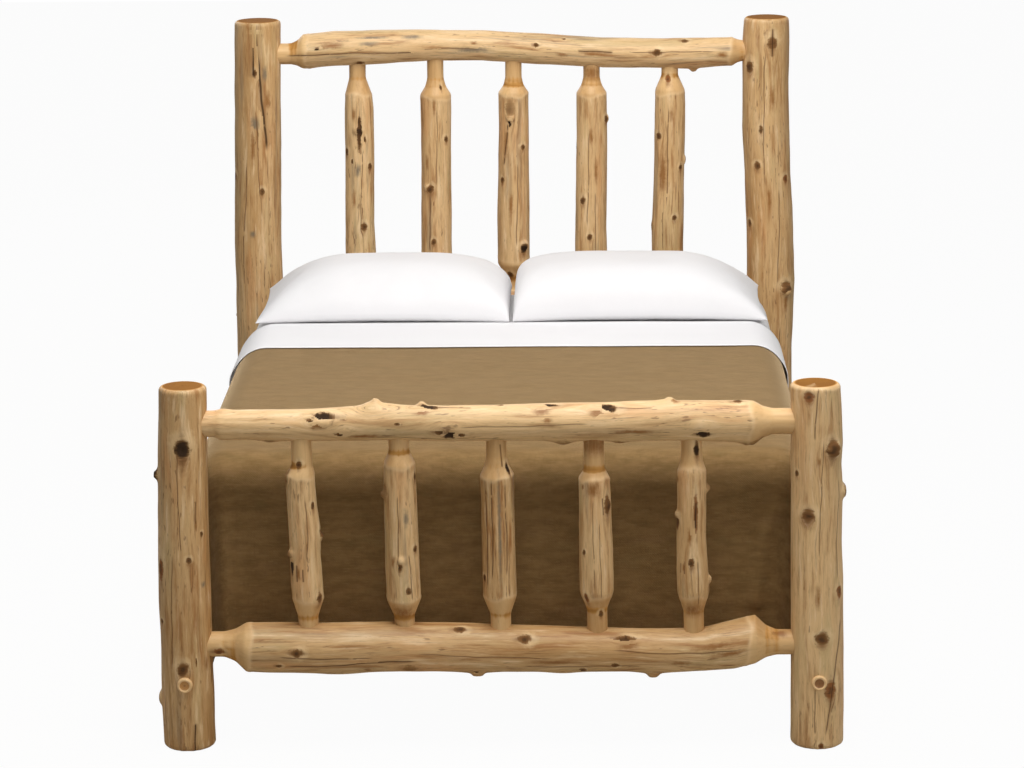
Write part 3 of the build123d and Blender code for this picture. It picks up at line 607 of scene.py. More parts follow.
    # Drying checks: a dark crack between darkened lips, with small breaks; the crack's dark is painted shade
    # inside the gap.
    side, share, near = paint.attribute("check").parts()
    broken = paint.noise(paint.join(x, y, z), 34, 2, 0.5)
    open_check = near.between(0.985, 0.999) * (1 - share * share).between(0.0, 0.3)
    open_check = open_check * broken.between(0.24, 0.38)
    shaded_crack = (abs(side) + streak * 0.8).between(1.6, 0.6) * open_check
    lip = abs(side).between(5.0, 0.8) * open_check
    wood = wood.overlaid(lip * 0.45, 132, 88, 46)
    # The crack's dark line: painted shade inside the open check.
    wood = wood.overlaid(shaded_crack * 0.9, 56, 36, 19)
    paint.set("Base Color", wood)
    paint.set("Roughness", 0.42 + fibre * 0.16 + (core + shaded_crack + ends).low(1) * 0.4)
    paint.set("Coat Weight", 0.1 * (1 - (core + shaded_crack + ends).low(1)))
    relief = (streak * (0.6 + streaks) + fibre * 0.4) * (1 - shaved * 0.7) - shaded_crack * 2.0
    relief = relief + pale_collar_and_highlight * 0.9 - core * dark * 0.9 + turns * core * ringed.high(0) * 0.2
    paint.set("Normal", paint.bump(relief, 0.55, 0.0014))
    return paint.material


def mix_linen():
    """White cotton of the sheets and pillow cases: a fine plain weave."""
    paint = Paint("cotton", roughness=0.88, Sheen_Weight=0.15, Sheen_Roughness=0.4, Specular_IOR_Level=0.25)
    soft = paint.noise(paint.place(), 9, 3, 0.5)
    thread = paint.noise(paint.place(), 900, 2, 0.6)
    white = paint.mix(soft * 0.5, chosen("cotton"), dye(238, 237, 238))
    paint.set("Base Color", paint.mix(thread.between(0.35, 0.7) * 0.12, white, dye(206, 205, 208)))
    paint.set("Normal", paint.bump(thread + soft * 3, 0.12, 0.0012))
    return paint.material


YARN = 0.0042  # one repeat of the blanket's weave
TWILL, STRIPES = 0.0022, 0.024  # one repeat of the ticking's twill and of its stripes
PLANER = 0.006  # one cut of the planer's ripple


def mix_blanket():
    """Brown woven blanket: uneven yarns in a basket weave, with a short nap."""
    paint = Paint("blanket", roughness=0.95, Sheen_Weight=0.7, Sheen_Roughness=0.38, Specular_IOR_Level=0.15,
                  Sheen_Tint=dye(255, 226, 184))
    u, v, _ = paint.node("UVMap", {"uv_map": "cloth"}).parts()
    mottle = paint.noise(paint.join(u * 14, v * 42, 0.0), 1.0, 4, 0.66)
    cast = paint.noise(paint.join(u * 7, v * 17, 5.0), 1.0, 3, 0.6)
    slub = paint.noise(paint.join(u * 38, v * 260, 0.0), 1.0, 3, 0.6)
    slub_up = paint.noise(paint.join(u * 260, v * 38, 4.0), 1.0, 3, 0.6)
    weave = (v * (math.tau / YARN)).wave() * (u * (math.tau / YARN)).wave()
    brown = paint.mix(mottle.between(0.3, 0.7) * 0.64 + 0.18, chosen("blanket_dark"), chosen("blanket_light"))
    brown = brown.overlaid(cast.between(0.52, 0.75) * 0.14, 144, 108, 86)
    brown = brown.overlaid(cast.between(0.46, 0.25) * 0.22, 118, 106, 68)
    brown = brown.overlaid(slub.between(0.5, 0.75) * 0.42, 160, 132, 94)
    brown = brown.overlaid(slub_up.between(0.5, 0.78) * 0.35, 100, 74, 44)
    brown = brown.overlaid(weave.between(-0.2, -0.9) * 0.35, 86, 62, 37)
    paint.set("Base Color", brown)
    paint.set("Normal", paint.bump(weave * 0.5 + slub * 0.8 + slub_up * 0.6 + mottle * 0.5, 0.45, 0.0014))
    return paint.material


def mix_ticking():
    """Mattress ticking: cream twill with a wide and two fine stripes; the sewn tape wears it too."""
    paint = Paint("ticking", roughness=0.86, Sheen_Weight=0.2, Specular_IOR_Level=0.2)
    x, y, z = paint.place().parts()
    level = abs(paint.node("NewGeometry", output="Normal").parts()[2]).between(0.55, 0.8)
    across = x + y * (1 - level)
    soft = paint.noise(paint.place(), 20, 4)
    yarn = paint.noise(paint.place(), 700, 2, 0.6)
    twill = ((across + z * (1 - level) + y * level) * (math.tau / TWILL)).wave()
    cream = paint.mix(soft, chosen("ticking"), dye(238, 232, 220))
    cream = cream.overlaid(yarn.between(0.4, 0.8) * 0.4, 206, 197, 180)
    band = (across * (math.tau / STRIPES)).wave()
    fine = band.between(0.1, 0.16) * band.between(0.34, 0.28)
    stripes = (band.between(0.8, 0.86) + fine * 0.5) * (0.55 + twill * 0.2)
    paint.set("Base Color", paint.mix(stripes.low(1), cream, chosen("stripe")))
    paint.set("Normal", paint.bump(twill * 0.5 + yarn + soft * 4, 0.3, 0.001))
    return paint.material


def mix_board(way):
    """Planed pine: growth lines along the board, round knots and the planer's ripple."""
    paint = Paint("board." + way, roughness=0.62, Specular_IOR_Level=0.3)
    x, y, z = paint.place().parts()
    along, one, two = {ACROSS: (x, y, z), ALONG: (y, x, z), UPRIGHT: (z, x, y)}[way]
    cell = paint.cells(paint.join(one * 8, two * 8, along * 3.2), 1.0)
    slow = paint.noise(paint.join(one, two, along * 0.12), 9, 3, 0.5)
    swirl = cell.between(0.42, 0.05) * 0.012
    rings = ((one + two * 0.7 + slow * 0.05 + swirl) * 950).wave()
    pine = paint.mix(slow.between(0.3, 0.7), chosen("board"), dye(226, 196, 150))
    pine = pine.overlaid(rings.between(0.1, 0.95) * 0.55, 190, 142, 86)
    pore = paint.noise(paint.join(one, two, along * 0.03), 900, 2, 0.6)
    pine = pine.overlaid(pore.between(0.5, 0.8) * 0.3, 176, 130, 80)
    pine = pine.overlaid(cell.between(0.2, 0.1) * 0.8, 150, 98, 54)
    pine = pine.overlaid(cell.between(0.1, 0.04) * 0.7, 98, 60, 32)
    ripple = (along * (math.tau / PLANER)).wave()
    paint.set("Base Color", pine)
    paint.set("Roughness", 0.56 + pore * 0.14)
    paint.set("Normal", paint.bump(rings * 0.4 + pore * 0.6 + ripple * 0.15, 0.3, 0.0008))
    return paint.material


def mix_steel():
    """Zinc-plated steel: spangled, with drawn lines and dull patches."""
    paint = Paint("steel", roughness=0.4, Metallic=1.0)
    x, y, z = paint.place().parts()
    spangle = paint.cells(paint.place(), 260.0)
    drawn = paint.noise(paint.join(x * 600, y * 14, z * 600), 1.0, 3, 0.6)
    dull = paint.noise(paint.place(), 40, 4, 0.6)
    zinc = paint.mix(spangle.between(0.1, 0.7), chosen("steel"), dye(184, 184, 178))
    zinc = zinc.overlaid(dull.between(0.5, 0.75) * 0.5, 120, 116, 106)
    paint.set("Base Color", zinc)
    paint.set("Roughness", 0.28 + drawn * 0.2 + dull * 0.16)
    paint.set("Normal", paint.bump(drawn + spangle * 0.3, 0.2, 0.0004))
    return paint.material


def mix_turned():
    """Turned buttons: a pale rim round a darker, end-grain middle."""
    paint = Paint("turned", roughness=0.4, Specular_IOR_Level=0.35, Coat_Weight=0.15)
    share, _, side = paint.attribute("part").parts()
    spread = paint.noise(paint.place(), 160, 3, 0.6)
    rings = ((share + spread * 0.12) * 34).wave()
    middle = paint.mix(side, chosen("button"), dye(132, 88, 46))
    middle = middle.overlaid(rings.between(-0.5, 0.9) * 0.45, 150, 100, 54)
    middle = middle.overlaid(share.between(0.2, 0.02) * 0.7, 120, 74, 38)
    wood = paint.mix(share.between(0.56, 0.68), middle, dye(228, 190, 138))
    wood = wood.overlaid(spread.between(0.4, 0.8) * 0.3, 186, 136, 84)
    paint.set("Base Color", wood)
    paint.set("Normal", paint.bump(spread + rings * 0.3, 0.2, 0.0006))
    return paint.material


RECIPES = {"cedar": mix_cedar, "cotton": mix_linen, "blanket": mix_blanket, "ticking": mix_ticking,
           "steel": mix_steel, "turned": mix_turned, "board across": lambda: mix_board(ACROSS),
           "board along": lambda: mix_board(ALONG), "board upright": lambda: mix_board(UPRIGHT)}
FINISHES = {}


def finish(name):
    if name not in FINISHES:
        FINISHES[name] = RECIPES[name]()
    return FINISHES[name]


# ---------------------------------------------------------------- the bed's logs

# Angles are counted from a post's or spindle's right side towards the headboard, and from a rail's head side
# upwards: 270 faces the foot of the bed on an upright log, and 180 does on a rail.
POSTS = {
    "post_foot_left": dict(
        tone=0.42, streaks=0.5, grey=0.36, seed=1,
        round=[(214, 267, 12, 11, 1.2), (600, 95, 13, 12, 2), (300, 60, 9, 8, 1), (450, 130, 15, 12, 2.5),
               (120, 180, 10, 10)],
        hollow=[(770, 275, 21, 14, 0.5), (698, 188, 13, 10, 2)],
        speck=[(555, 320, 5, 4, 1.5), (492, 287, 6, 5), (230, 296, 8, 3), (330, 212, 5, 5)],
        stain_and_shade=[(580, 305, 16, 3), (222, 324, 19, 7)],
        red=[(465, 214, 20, 8, 1.5), (830, 40, 8, 7, 1)],
        ashen=[(425, 322, 9, 6)],
        checks=[(30, 289, 90, 4.0, 0.05), (612, 306, 60, 1.6, 0.02), (640, 265, 260, 1.2, -0.03),
                (500, 80, 420, 2.6, 0.06), (250, 345, 180, 1.6, 0.05), (360, 245, 300, 1.2, 0.03)]),
    "post_foot_right": dict(
        tone=0.8, streaks=0.36, grey=0.08, seed=2,
        round=[(764, 303, 16, 13, 1.5), (596, 246, 12, 14, 1), (285, 277, 12, 13, 1), (647, 0, 12, 11),
               (520, 100, 14, 12, 2), (230, 130, 11, 10, 1.5)],
        speck=[(699, 216, 6, 5, 0.5), (350, 50, 8, 7, 0.5)],
        stain_and_shade=[(735, 272, 11, 5, 1), (392, 268, 34, 6)],
        red=[(895, 251, 9, 10), (400, 322, 12, 8, 2), (152, 296, 18, 12, 2), (10, 276, 6, 5),
             (820, 150, 9, 8, 1)],
        checks=[(852, 267, 130, 1.7, 0.10), (185, 306, 300, 2.6, 0.17), (640, 276, 300, 1.1, 0.04),
                (440, 110, 500, 2.8, -0.05), (100, 262, 120, 1.2, 0.0), (560, 320, 260, 1.2, 0.03)]),
    "post_head_left": dict(
        tone=0.5, streaks=0.55, grey=0.35, seed=3, lumps=1.4,
        round=[(1373, 268, 7, 5, 0.5), (609, 150, 12, 12), (1180, 90, 14, 12, 2), (420, 60, 12, 11, 2),
               (300, 210, 11, 9, 1)],
        speck=[(1010, 285, 8, 6, 0.5)],
        stain_and_shade=[(1290, 300, 30, 8), (1150, 262, 60, 6)],
        red=[(900, 120, 10, 9, 1.5), (1050, 200, 9, 7, 1)],
        ashen=[(1219, 268, 22, 12), (1370, 292, 24, 7), (880, 262, 12, 8)],
        checks=[(1340, 281, 420, 9.0, -0.10), (1440, 266, 170, 13.0, 0.0), (915, 240, 370, 1.8, 0.05),
                (820, 80, 620, 3.0, 0.05), (1120, 275, 260, 1.2, -0.04), (560, 300, 380, 1.8, 0.04)]),
    "post_head_right": dict(
        tone=0.48, streaks=0.45, grey=0.12, seed=4, lumps=1.4,
        round=[(1452, 282, 15, 11, 1), (1378, 224, 14, 11, 1), (1078, 241, 8, 8, 1), (898, 210, 8, 7, 1),
               (702, 306, 15, 14, 3), (560, 110, 13, 12, 2), (1160, 80, 12, 11, 2), (330, 240, 10, 9, 1),
               (240, 20, 12, 10, 1.5)],
        speck=[(1190, 255, 8, 5)],
        stain_and_shade=[(655, 308, 34, 7), (1290, 285, 40, 7), (980, 270, 36, 5)],
        red=[(1035, 317, 9, 8, 1.5), (820, 60, 11, 9, 1.5)],
        checks=[(1220, 262, 420, 1.4, 0.02), (860, 290, 300, 1.6, 0.05), (900, 100, 700, 3.0, -0.04),
                (420, 290, 330, 1.6, 0.04), (1452, 282, 90, 3.0, 0.0)]),
}

RAILS = {
    "foot_rail_top": dict(
        tone=0.85, streaks=0.2, grey=0.1, seed=5, lumps=1.8, flutes=0.4,
        round=[(-384, 208, 13, 6, 1), (580, 97, 9, 7, 3), (-60, 20, 12, 11, 2), (360, 350, 12, 10, 2)],
        hollow=[(-119, 205, 15, 10, 1), (494, 206, 13, 8, 1)],
        slit=[(-426, 143, 20, 12, 3), (-172, 106, 20, 9, 1), (122, 108, 15, 8, 1), (262, 124, 18, 11, 2)],
        speck=[(-456, 156, 11, 8), (-247, 172, 5, 3), (-140, 196, 12, 8), (-96, 208, 9, 5), (5, 96, 5, 4, 2),
               (250, 154, 9, 3)],
        # The first five marks here, just under the four slits and their swells, are painted shade under that
        # raised wood; the others are stains in the wood.
        stain_and_shade=[(-440, 172, 26, 9), (-188, 130, 22, 9), (104, 130, 24, 11), (117, 160, 15, 6),
               (236, 138, 22, 11), (428, 99, 14, 8), (330, 200, 60, 5), (-330, 215, 50, 5)],
        red=[(-420, 330, 10, 9, 2)],
        swell=[(-424, 164, 16, 8, 3), (-370, 190, 10, 7, 2), (-672, 95, 12, 10, 4), (-314, 95, 14, 18, 7),
               (-286, 95, 30, 20, 6), (-196, 120, 18, 9, 2), (-121, 178, 18, 9, 3), (104, 116, 14, 8, 2),
               (232, 120, 12, 9, 2.5), (402, 92, 14, 12, 4), (492, 180, 20, 10, 3)],
        stub=[(155, 262, 20, 13, 8), (293, 265, 20, 13, 6), (618, 258, 22, 16, 10), (-560, 264, 18, 12, 4)],
        checks=[(-110, 105, 90, 1.6, 0.08), (320, 124, 110, 1.4, 0.05), (60, 178, 320, 1.0, -0.02),
                (-150, 225, 360, 1.2, 0.02), (100, 20, 700, 2.4, 0.02)]),
    "foot_rail_bottom": dict(
        tone=0.52, streaks=0.52, grey=0.15, seed=6, lumps=1.6,
        round=[(-502, 176, 11, 8, 1.5), (-102, 118, 11, 7, 1), (58, 140, 12, 9, 1.5), (305, 136, 18, 8, 2),
               (-62, 240, 12, 9, 0.5), (200, 228, 8, 7, 1), (-150, 40, 14, 12, 2), (420, 20, 12, 11, 2)],
        speck=[(-549, 210, 6, 4), (280, 206, 8, 5, 1)],
        stain_and_shade=[(312, 152, 30, 8), (684, 122, 22, 10), (520, 160, 60, 7), (560, 185, 50, 6), (440, 200, 30, 6),
               (374, 244, 10, 7), (-330, 226, 10, 8, 1), (140, 200, 70, 5)],
        red=[(-698, 199, 9, 7, 0.5), (-440, 330, 12, 10, 2)],
        swell=[(-395, 262, 40, 26, 3.5), (-60, 262, 34, 26, 4.5), (150, 262, 34, 26, 5),
               (374, 262, 34, 26, 4.5), (640, 100, 26, 20, 3)],
        stub=[(-225, 224, 14, 11, 3)],
        checks=[(-370, 205, 330, 3.0, -0.05), (-430, 189, 240, 1.6, 0.02), (-40, 185, 340, 1.2, 0.02),
                (430, 172, 320, 1.6, 0.04), (200, 212, 300, 1.4, -0.02), (0, 30, 800, 2.6, 0.02)]),
    "head_rail_top": dict(
        tone=0.84, streaks=0.45, grey=0.6, seed=7, lumps=1.6,
        round=[(435, 172, 10, 8, 1), (72, 160, 6, 5, 0.5), (-458, 236, 9, 7), (-250, 330, 12, 10, 2),
               (300, 20, 12, 10, 2)],
        hollow=[(-585, 168, 9, 5)],
        speck=[(156, 125, 4, 3), (520, 120, 8, 6, 0.5)],
        stain_and_shade=[(632, 186, 16, 8), (-540, 162, 40, 9), (-115, 165, 12, 5), (150, 190, 18, 6),
               (250, 180, 50, 6)],
        ashen=[(-430, 160, 30, 6), (-120, 190, 60, 7), (-300, 140, 34, 6), (-420, 140, 50, 5)],
        swell=[(-625, 262, 26, 18, 4), (548, 262, 40, 20, 4)],
        stub=[(546, 268, 14, 10, 1)],
        checks=[(-480, 192, 420, 2.8, 0.02), (-200, 186, 200, 1.4, 0.0), (250, 172, 110, 3.4, 0.01),
                (480, 170, 260, 1.2, 0.0), (0, 340, 700, 2.4, 0.02)]),
    "head_rail_bottom": dict(
        tone=0.6, streaks=0.5, grey=0.2, seed=8,
        round=[(-420, 200, 12, 10, 2), (120, 170, 10, 9, 1), (-100, 20, 13, 11, 2), (340, 350, 11, 9, 1.5)],
        red=[(430, 190, 11, 9, 1.5)],
        stub=[(-230, 150, 12, 12)],
        checks=[(-200, 190, 500, 2.4, 0.02), (300, 20, 500, 2.4, 0.02)]),
}

BACK_CHECK = (1040, 100, 380, 2.0, 0.02)  # the long one behind every spindle of the headboard

SPINDLES = {
    "foot_spindle_1": dict(
        tone=0.94, seed=10, streaks=0.36,
        round=[(724, 260, 7, 6, 0.5), (385, 322, 10, 7, 1.5), (545, 0, 12, 10), (480, 90, 12, 10, 2)],
        # This hollow sits just under the stub at 492; its dark is partly painted shade under that stub.
        hollow=[(466, 214, 15, 6, 0.5)],
        speck=[(620, 320, 6, 5, 1)],
        stain_and_shade=[(450, 245, 17, 5)],
        red=[(620, 110, 9, 8, 1)],
        stub=[(492, 212, 8, 6, 3), (690, 200, 18, 8, 2.5)],
        checks=[(450, 238, 45, 2.6, 0.0), (446, 262, 34, 2.2, 0.0), (560, 285, 160, 1.2, 0.02),
                (540, 80, 240, 1.8, 0.03)]),
    "foot_spindle_2": dict(
        tone=0.74, seed=11, streaks=0.4,
        round=[(690, 345, 8, 6, 1), (510, 326, 7, 6, 1), (467, 262, 8, 7, 1.5), (560, 90, 12, 10, 2)],
        speck=[(405, 290, 8, 6, 0.5)],
        stain_and_shade=[(480, 240, 16, 5, 1), (347, 270, 24, 26)],
        red=[(430, 120, 9, 8, 1)],
        ashen=[(590, 290, 26, 6)],
        stub=[(654, 205, 13, 10, 2)],
        checks=[(560, 262, 180, 1.2, 0.02), (440, 300, 120, 1.4, -0.03), (520, 100, 240, 1.8, 0.03)]),
    "foot_spindle_3": dict(
        tone=0.5, seed=12, streaks=0.95, grey=0.5, flutes=1.7, lumps=0.8,
        round=[(433, 208, 7, 5, 0.5), (480, 100, 11, 9, 1.5)],
        hollow=[(710, 324, 10, 5, 0.5)],
        ashen=[(560, 276, 150, 4)],
        checks=[(745, 296, 60, 2.0, 0.0), (560, 250, 260, 2.0, 0.01), (560, 300, 240, 1.8, 0.0),
                (540, 228, 260, 1.8, 0.0), (560, 90, 280, 2.2, 0.02)]),
    "foot_spindle_4": dict(
        tone=0.8, seed=13, streaks=0.36,
        round=[(617, 318, 17, 8, 1.5), (520, 90, 12, 10, 2)],
        speck=[(341, 293, 6, 5), (500, 225, 5, 4)],
        stain_and_shade=[(665, 225, 8, 5, 0.5), (660, 262, 20, 14), (770, 270, 30, 40)],
        red=[(383, 228, 9, 5, 0.5), (640, 130, 9, 8, 1)],
        checks=[(617, 300, 46, 1.8, 0.0), (520, 262, 240, 1.0, 0.0), (480, 285, 200, 1.0, 0.0),
                (540, 100, 240, 1.8, 0.03)]),
    "foot_spindle_5": dict(
        tone=0.64, seed=14, streaks=0.45,
        round=[(572, 196, 12, 8), (474, 266, 9, 6, 2.5), (520, 90, 12, 10, 2)],
        hollow=[(756, 298, 14, 6, 0.5)],
        stain_and_shade=[(680, 195, 10, 7, 1.5), (461, 236, 12, 4), (540, 262, 26, 5), (350, 270, 22, 24)],
        red=[(596, 284, 32, 5, 1)],
        stub=[(663, 354, 11, 8, 1), (399, 352, 10, 8, 0.5)],
        checks=[(594, 286, 70, 4.0, 0.0), (461, 240, 34, 2.4, 0.0), (459, 226, 26, 2.2, 0.0),
                (420, 290, 120, 1.2, 0.02), (540, 100, 240, 1.8, 0.03)]),
    "head_spindle_1": dict(
        tone=0.78, seed=15, streaks=0.5, grey=0.35,
        round=[(1164, 292, 8, 5, 0.5), (1123, 212, 9, 7, 1), (1095, 246, 7, 5, 0.5), (1078, 317, 8, 6, 1),
               (895, 290, 9, 8, 1), (1000, 90, 12, 10, 2), (800, 260, 8, 7, 1)],
        hollow=[(1186, 273, 36, 6, 1)],
        stain_and_shade=[(980, 250, 30, 5), (1240, 250, 22, 6)],
        ashen=[(1070, 265, 22, 9)],
        checks=[(1180, 272, 120, 3.0, 0.0), (1000, 280, 260, 1.4, 0.02), BACK_CHECK]),
    "head_spindle_2": dict(
        tone=0.66, seed=16, streaks=0.4,
        round=[(1162, 314, 7, 6, 1), (1012, 250, 9, 7, 1.5), (847, 261, 7, 6, 1), (960, 90, 12, 10, 2)],
        speck=[(1318, 300, 6, 4)],
        stain_and_shade=[(1262, 266, 30, 5), (1090, 235, 24, 5)],
        red=[(1120, 100, 9, 8, 1), (760, 250, 8, 7, 1)],
        checks=[(905, 247, 180, 2.2, 0.0), (1140, 275, 240, 1.2, 0.01), BACK_CHECK]),
    "head_spindle_3": dict(
        tone=0.64, seed=17, streaks=0.5,
        round=[(1036, 225, 8, 6, 1), (1137, 308, 7, 6, 1), (930, 90, 12, 10, 2), (740, 250, 8, 7, 1)],
        hollow=[(1209, 252, 8, 6, 0.5), (823, 309, 12, 9, 1.5)],
        stain_and_shade=[(1150, 240, 50, 6, 1), (960, 262, 40, 6)],
        stub=[(1255, 258, 18, 12, 2.5)],
        checks=[(1145, 240, 130, 3.0, 0.10), (960, 285, 260, 1.4, 0.02), BACK_CHECK]),
    "head_spindle_4": dict(
        tone=0.71, seed=18, streaks=0.4,
        round=[(1218, 337, 9, 7, 1.5), (1136, 184, 8, 7, 1), (972, 238, 9, 7, 1.5), (861, 266, 7, 6, 1),
               (960, 90, 12, 10, 2)],
        stain_and_shade=[(1168, 268, 26, 5), (1060, 285, 40, 5), (1360, 270, 26, 30)],
        red=[(740, 260, 8, 7, 1)],
        checks=[(1040, 258, 300, 1.4, 0.01), (900, 285, 200, 1.2, 0.0), BACK_CHECK]),
    "head_spindle_5": dict(
        tone=0.6, seed=19, streaks=0.6,
        round=[(1167, 224, 9, 8, 1.5), (1071, 317, 7, 6, 1), (917, 292, 7, 6, 1), (960, 90, 12, 10, 2),
               (760, 250, 8, 7, 1)],
        stain_and_shade=[(1050, 244, 62, 12), (1230, 275, 26, 5)],
        red=[(1340, 258, 9, 7, 1)],
        stub=[(889, 188, 12, 9, 2)],
        checks=[(1100, 262, 320, 1.6, 0.0), (900, 250, 180, 1.2, 0.0), BACK_CHECK]),
}

SIDE_RAILS = {
    "side_rail_left": dict(
        tone=0.5, seed=21, streaks=0.5,
        round=[(-700, 200, 12, 10, 2), (-495, 340, 14, 12), (-80, 175, 11, 9, 1.5), (640, 160, 9, 8, 1),
               (860, 215, 10, 9, 1.5)],
        red=[(330, 190, 13, 11, 2)],
        checks=[(-300, 185, 700, 2.2, 0.02), (480, 170, 700, 2.0, -0.02)]),
    "side_rail_right": dict(
        tone=0.5, seed=22, streaks=0.5,
        round=[(-640, 350, 12, 10, 2), (-495, 200, 14, 12), (-180, 5, 11, 9, 1.5), (600, 10, 9, 8, 1),
               (840, 345, 10, 9, 1.5)],
        red=[(250, 340, 13, 11, 2)],
        checks=[(-300, 355, 700, 2.2, 0.02), (480, 5, 700, 2.0, -0.02)]),
}


# ---------------------------------------------------------------- wooden buttons

# Half section of a turned button in mm, from the middle of its face to its back: (radius, how far it stands
# out from the post).
BUTTON = [(0, 3.6), (5, 3.7), (10, 4.3), (12.5, 5.6), (14, 6.7), (15.5, 7.0), (17.2, 6.2), (18.6, 4.2),
          (19, 1.5), (19, -6), (18.4, -13.2), (17, -13.9), (0, -13.9)]
BUTTON_RADIUS, BUTTON_PROUD = 19, 7
POST_REACH = 0.781  # from the bed's middle to the middle of a post


def turn_buttons():
    """Four turned buttons over the bed bolts, with a raised rim round a dished middle."""
    low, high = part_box("bolt_plugs")
    height = (low[2] + high[2]) / 2
    proud = BUTTON_PROUD * MM
    bm = bmesh.new()
    rims = bm.verts.layers.float_vector.new("part")
    for side in (-1, 1):
        for end, face in ((-1, low[1] + proud), (1, high[1] - proud)):
            centre = Vector((side * POST_REACH, face, height))
            chain = []
            for radius, out in BUTTON:
                chain.append(bm.verts.new(centre + Vector((radius * MM, end * out * MM, 0))))
                chain[-1][rims] = (radius / BUTTON_RADIUS, max(out, 0) / BUTTON_PROUD, 0.5 + 0.5 * side)
            line = [bm.edges.new(pair) for pair in zip(chain, chain[1:])]
            bmesh.ops.spin(bm, geom=chain + line, cent=centre, axis=(0, 1, 0), angle=math.tau, steps=40,
                           use_merge=True)
    bmesh.ops.remove_doubles(bm, verts=bm.verts, dist=1e-6)
    bmesh.ops.recalc_face_normals(bm, faces=bm.faces)
    piece = new_piece("buttons.turned", bm)
    paint_with(piece, finish("turned"))
    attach(piece, "frame")
    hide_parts("bolt_plugs")


# ---------------------------------------------------------------- bedding

# How far each layer lies off the mattress, and the steps of its mesh.
FITTED_OUT, TOP_OUT, BLANKET_OUT, CUFF_OUT = 0.0005, 0.003, 0.0055, 0.0155
SHEET_STEP, BLANKET_STEP, CUFF_STEP = 0.02, 0.0112, 0.015
# Heights of the hems over the floor, (left, right) and foot, and the length of the slant between them.
TOP_HEMS = (0.52, 0.48), 0.30, 0.1
BLANKET_HEMS = (0.64, 0.45), 0.236, 0.12
FITTED_HEM = 0.47
CUFF_HEMS = 0.61, 0.56
CUFF_FRONT = 0.18  # where the turned-back hem of the cuff lies along the bed
TOP_SHORT, BLANKET_SHORT = 0.005, 0.006  # how far from the cuff's fold these layers end
# How far the left and right sides stand out behind the foot, and how far below the top that starts.
TOP_FLARE, CUFF_FLARE, BLANKET_FLARE = (0.012, 0, 0.072), (0.012, 0.006, 0.03), (0.005, 0, 0.03)
# Folds in the blanket's drop at the foot, as cover takes them: deep ones at the corners, faint ones inside.
FOLDS = [(0.705, 0.65, 0.656, 0.52, 0.016, 0.014), (0.65, 0.50, 0.63, 0.34, 0.013, 0.014),
         (-0.692, 0.63, -0.69, 0.23, 0.013, 0.013), (-0.66, 0.50, -0.655, 0.26, 0.004, 0.016),
         (0.60, 0.45, 0.59, 0.25, 0.004, 0.018)]
DIP = 0.0005  # the most that a wave may go inwards, so that no layer comes through the next
HANG_START, HANG_RUN = 0.05, 0.2  # a cloth hangs freely, and so waves, from this far below its top
FLARE_START, FLARE_RUN, FLARE_FALL = 0.2, 0.3, 0.07  # a side stands out from this far behind the foot


def over_edge(bend, run):
    """How far outwards and downwards a cloth has gone at a length past the start of its bend over an edge."""
    quarter = bend * math.pi / 2
    if run < quarter:
        return bend * math.sin(run / bend), bend * (1 - math.cos(run / bend))
    return bend, bend + run - quarter


def even_rows(marks, step):
    """Places in even steps between marks, so that a row of the cloth lies on each mark."""
    places = [marks[0]]
    for mark in marks[1:]:
        count = max(1, round((mark - places[-1]) / step))
        places += list(np.linspace(places[-1], mark, count + 1)[1:])
    return places


def ease(share):
    share = min(max(share, 0), 1)
    return share * share * (3 - 2 * share)


def hanging_edge(half, foot, back, foot_falls, back_falls, step):
    """Runs of (place on the flat top, outward direction) along the line where a cloth starts to bend down."""
    corner = [math.radians(angle) for angle in range(9, 90, 9)]
    left = [((-half, y), (-1, 0)) for y in reversed(even_rows([foot, back], step))]
    right = [((half, y), (1, 0)) for y in even_rows([foot, back], step)]
    if not foot_falls:
        return [left, right]
    run = left + [((-half, foot), (-math.cos(angle), -math.sin(angle))) for angle in corner]
    run += [((x, foot), (0, -1)) for x in even_rows([-half, half], step)]
    run += [((half, foot), (math.sin(angle), -math.cos(angle))) for angle in corner] + right
    if back_falls:
        run += [((half, back), (math.cos(angle), math.sin(angle))) for angle in corner]
        run += [((x, back), (0, 1)) for x in reversed(even_rows([-half, half], step))]
        run += [((-half, back), (-math.sin(angle), math.cos(angle))) for angle in corner] + left[:1]
    return [run]


def fold_height(x, z, fold):
    """How far a fold, a rounded ridge along a line, stands out at a place on the foot side."""
    x0, z0, x1, z1, height, width = fold
    run_x, run_z = x1 - x0, z1 - z0
    along = min(max(((x - x0) * run_x + (z - z0) * run_z) / (run_x ** 2 + run_z ** 2), 0), 1)
    away = math.hypot(x - x0 - along * run_x, z - z0 - along * run_z) / width
    return height * math.exp(-away ** 2)


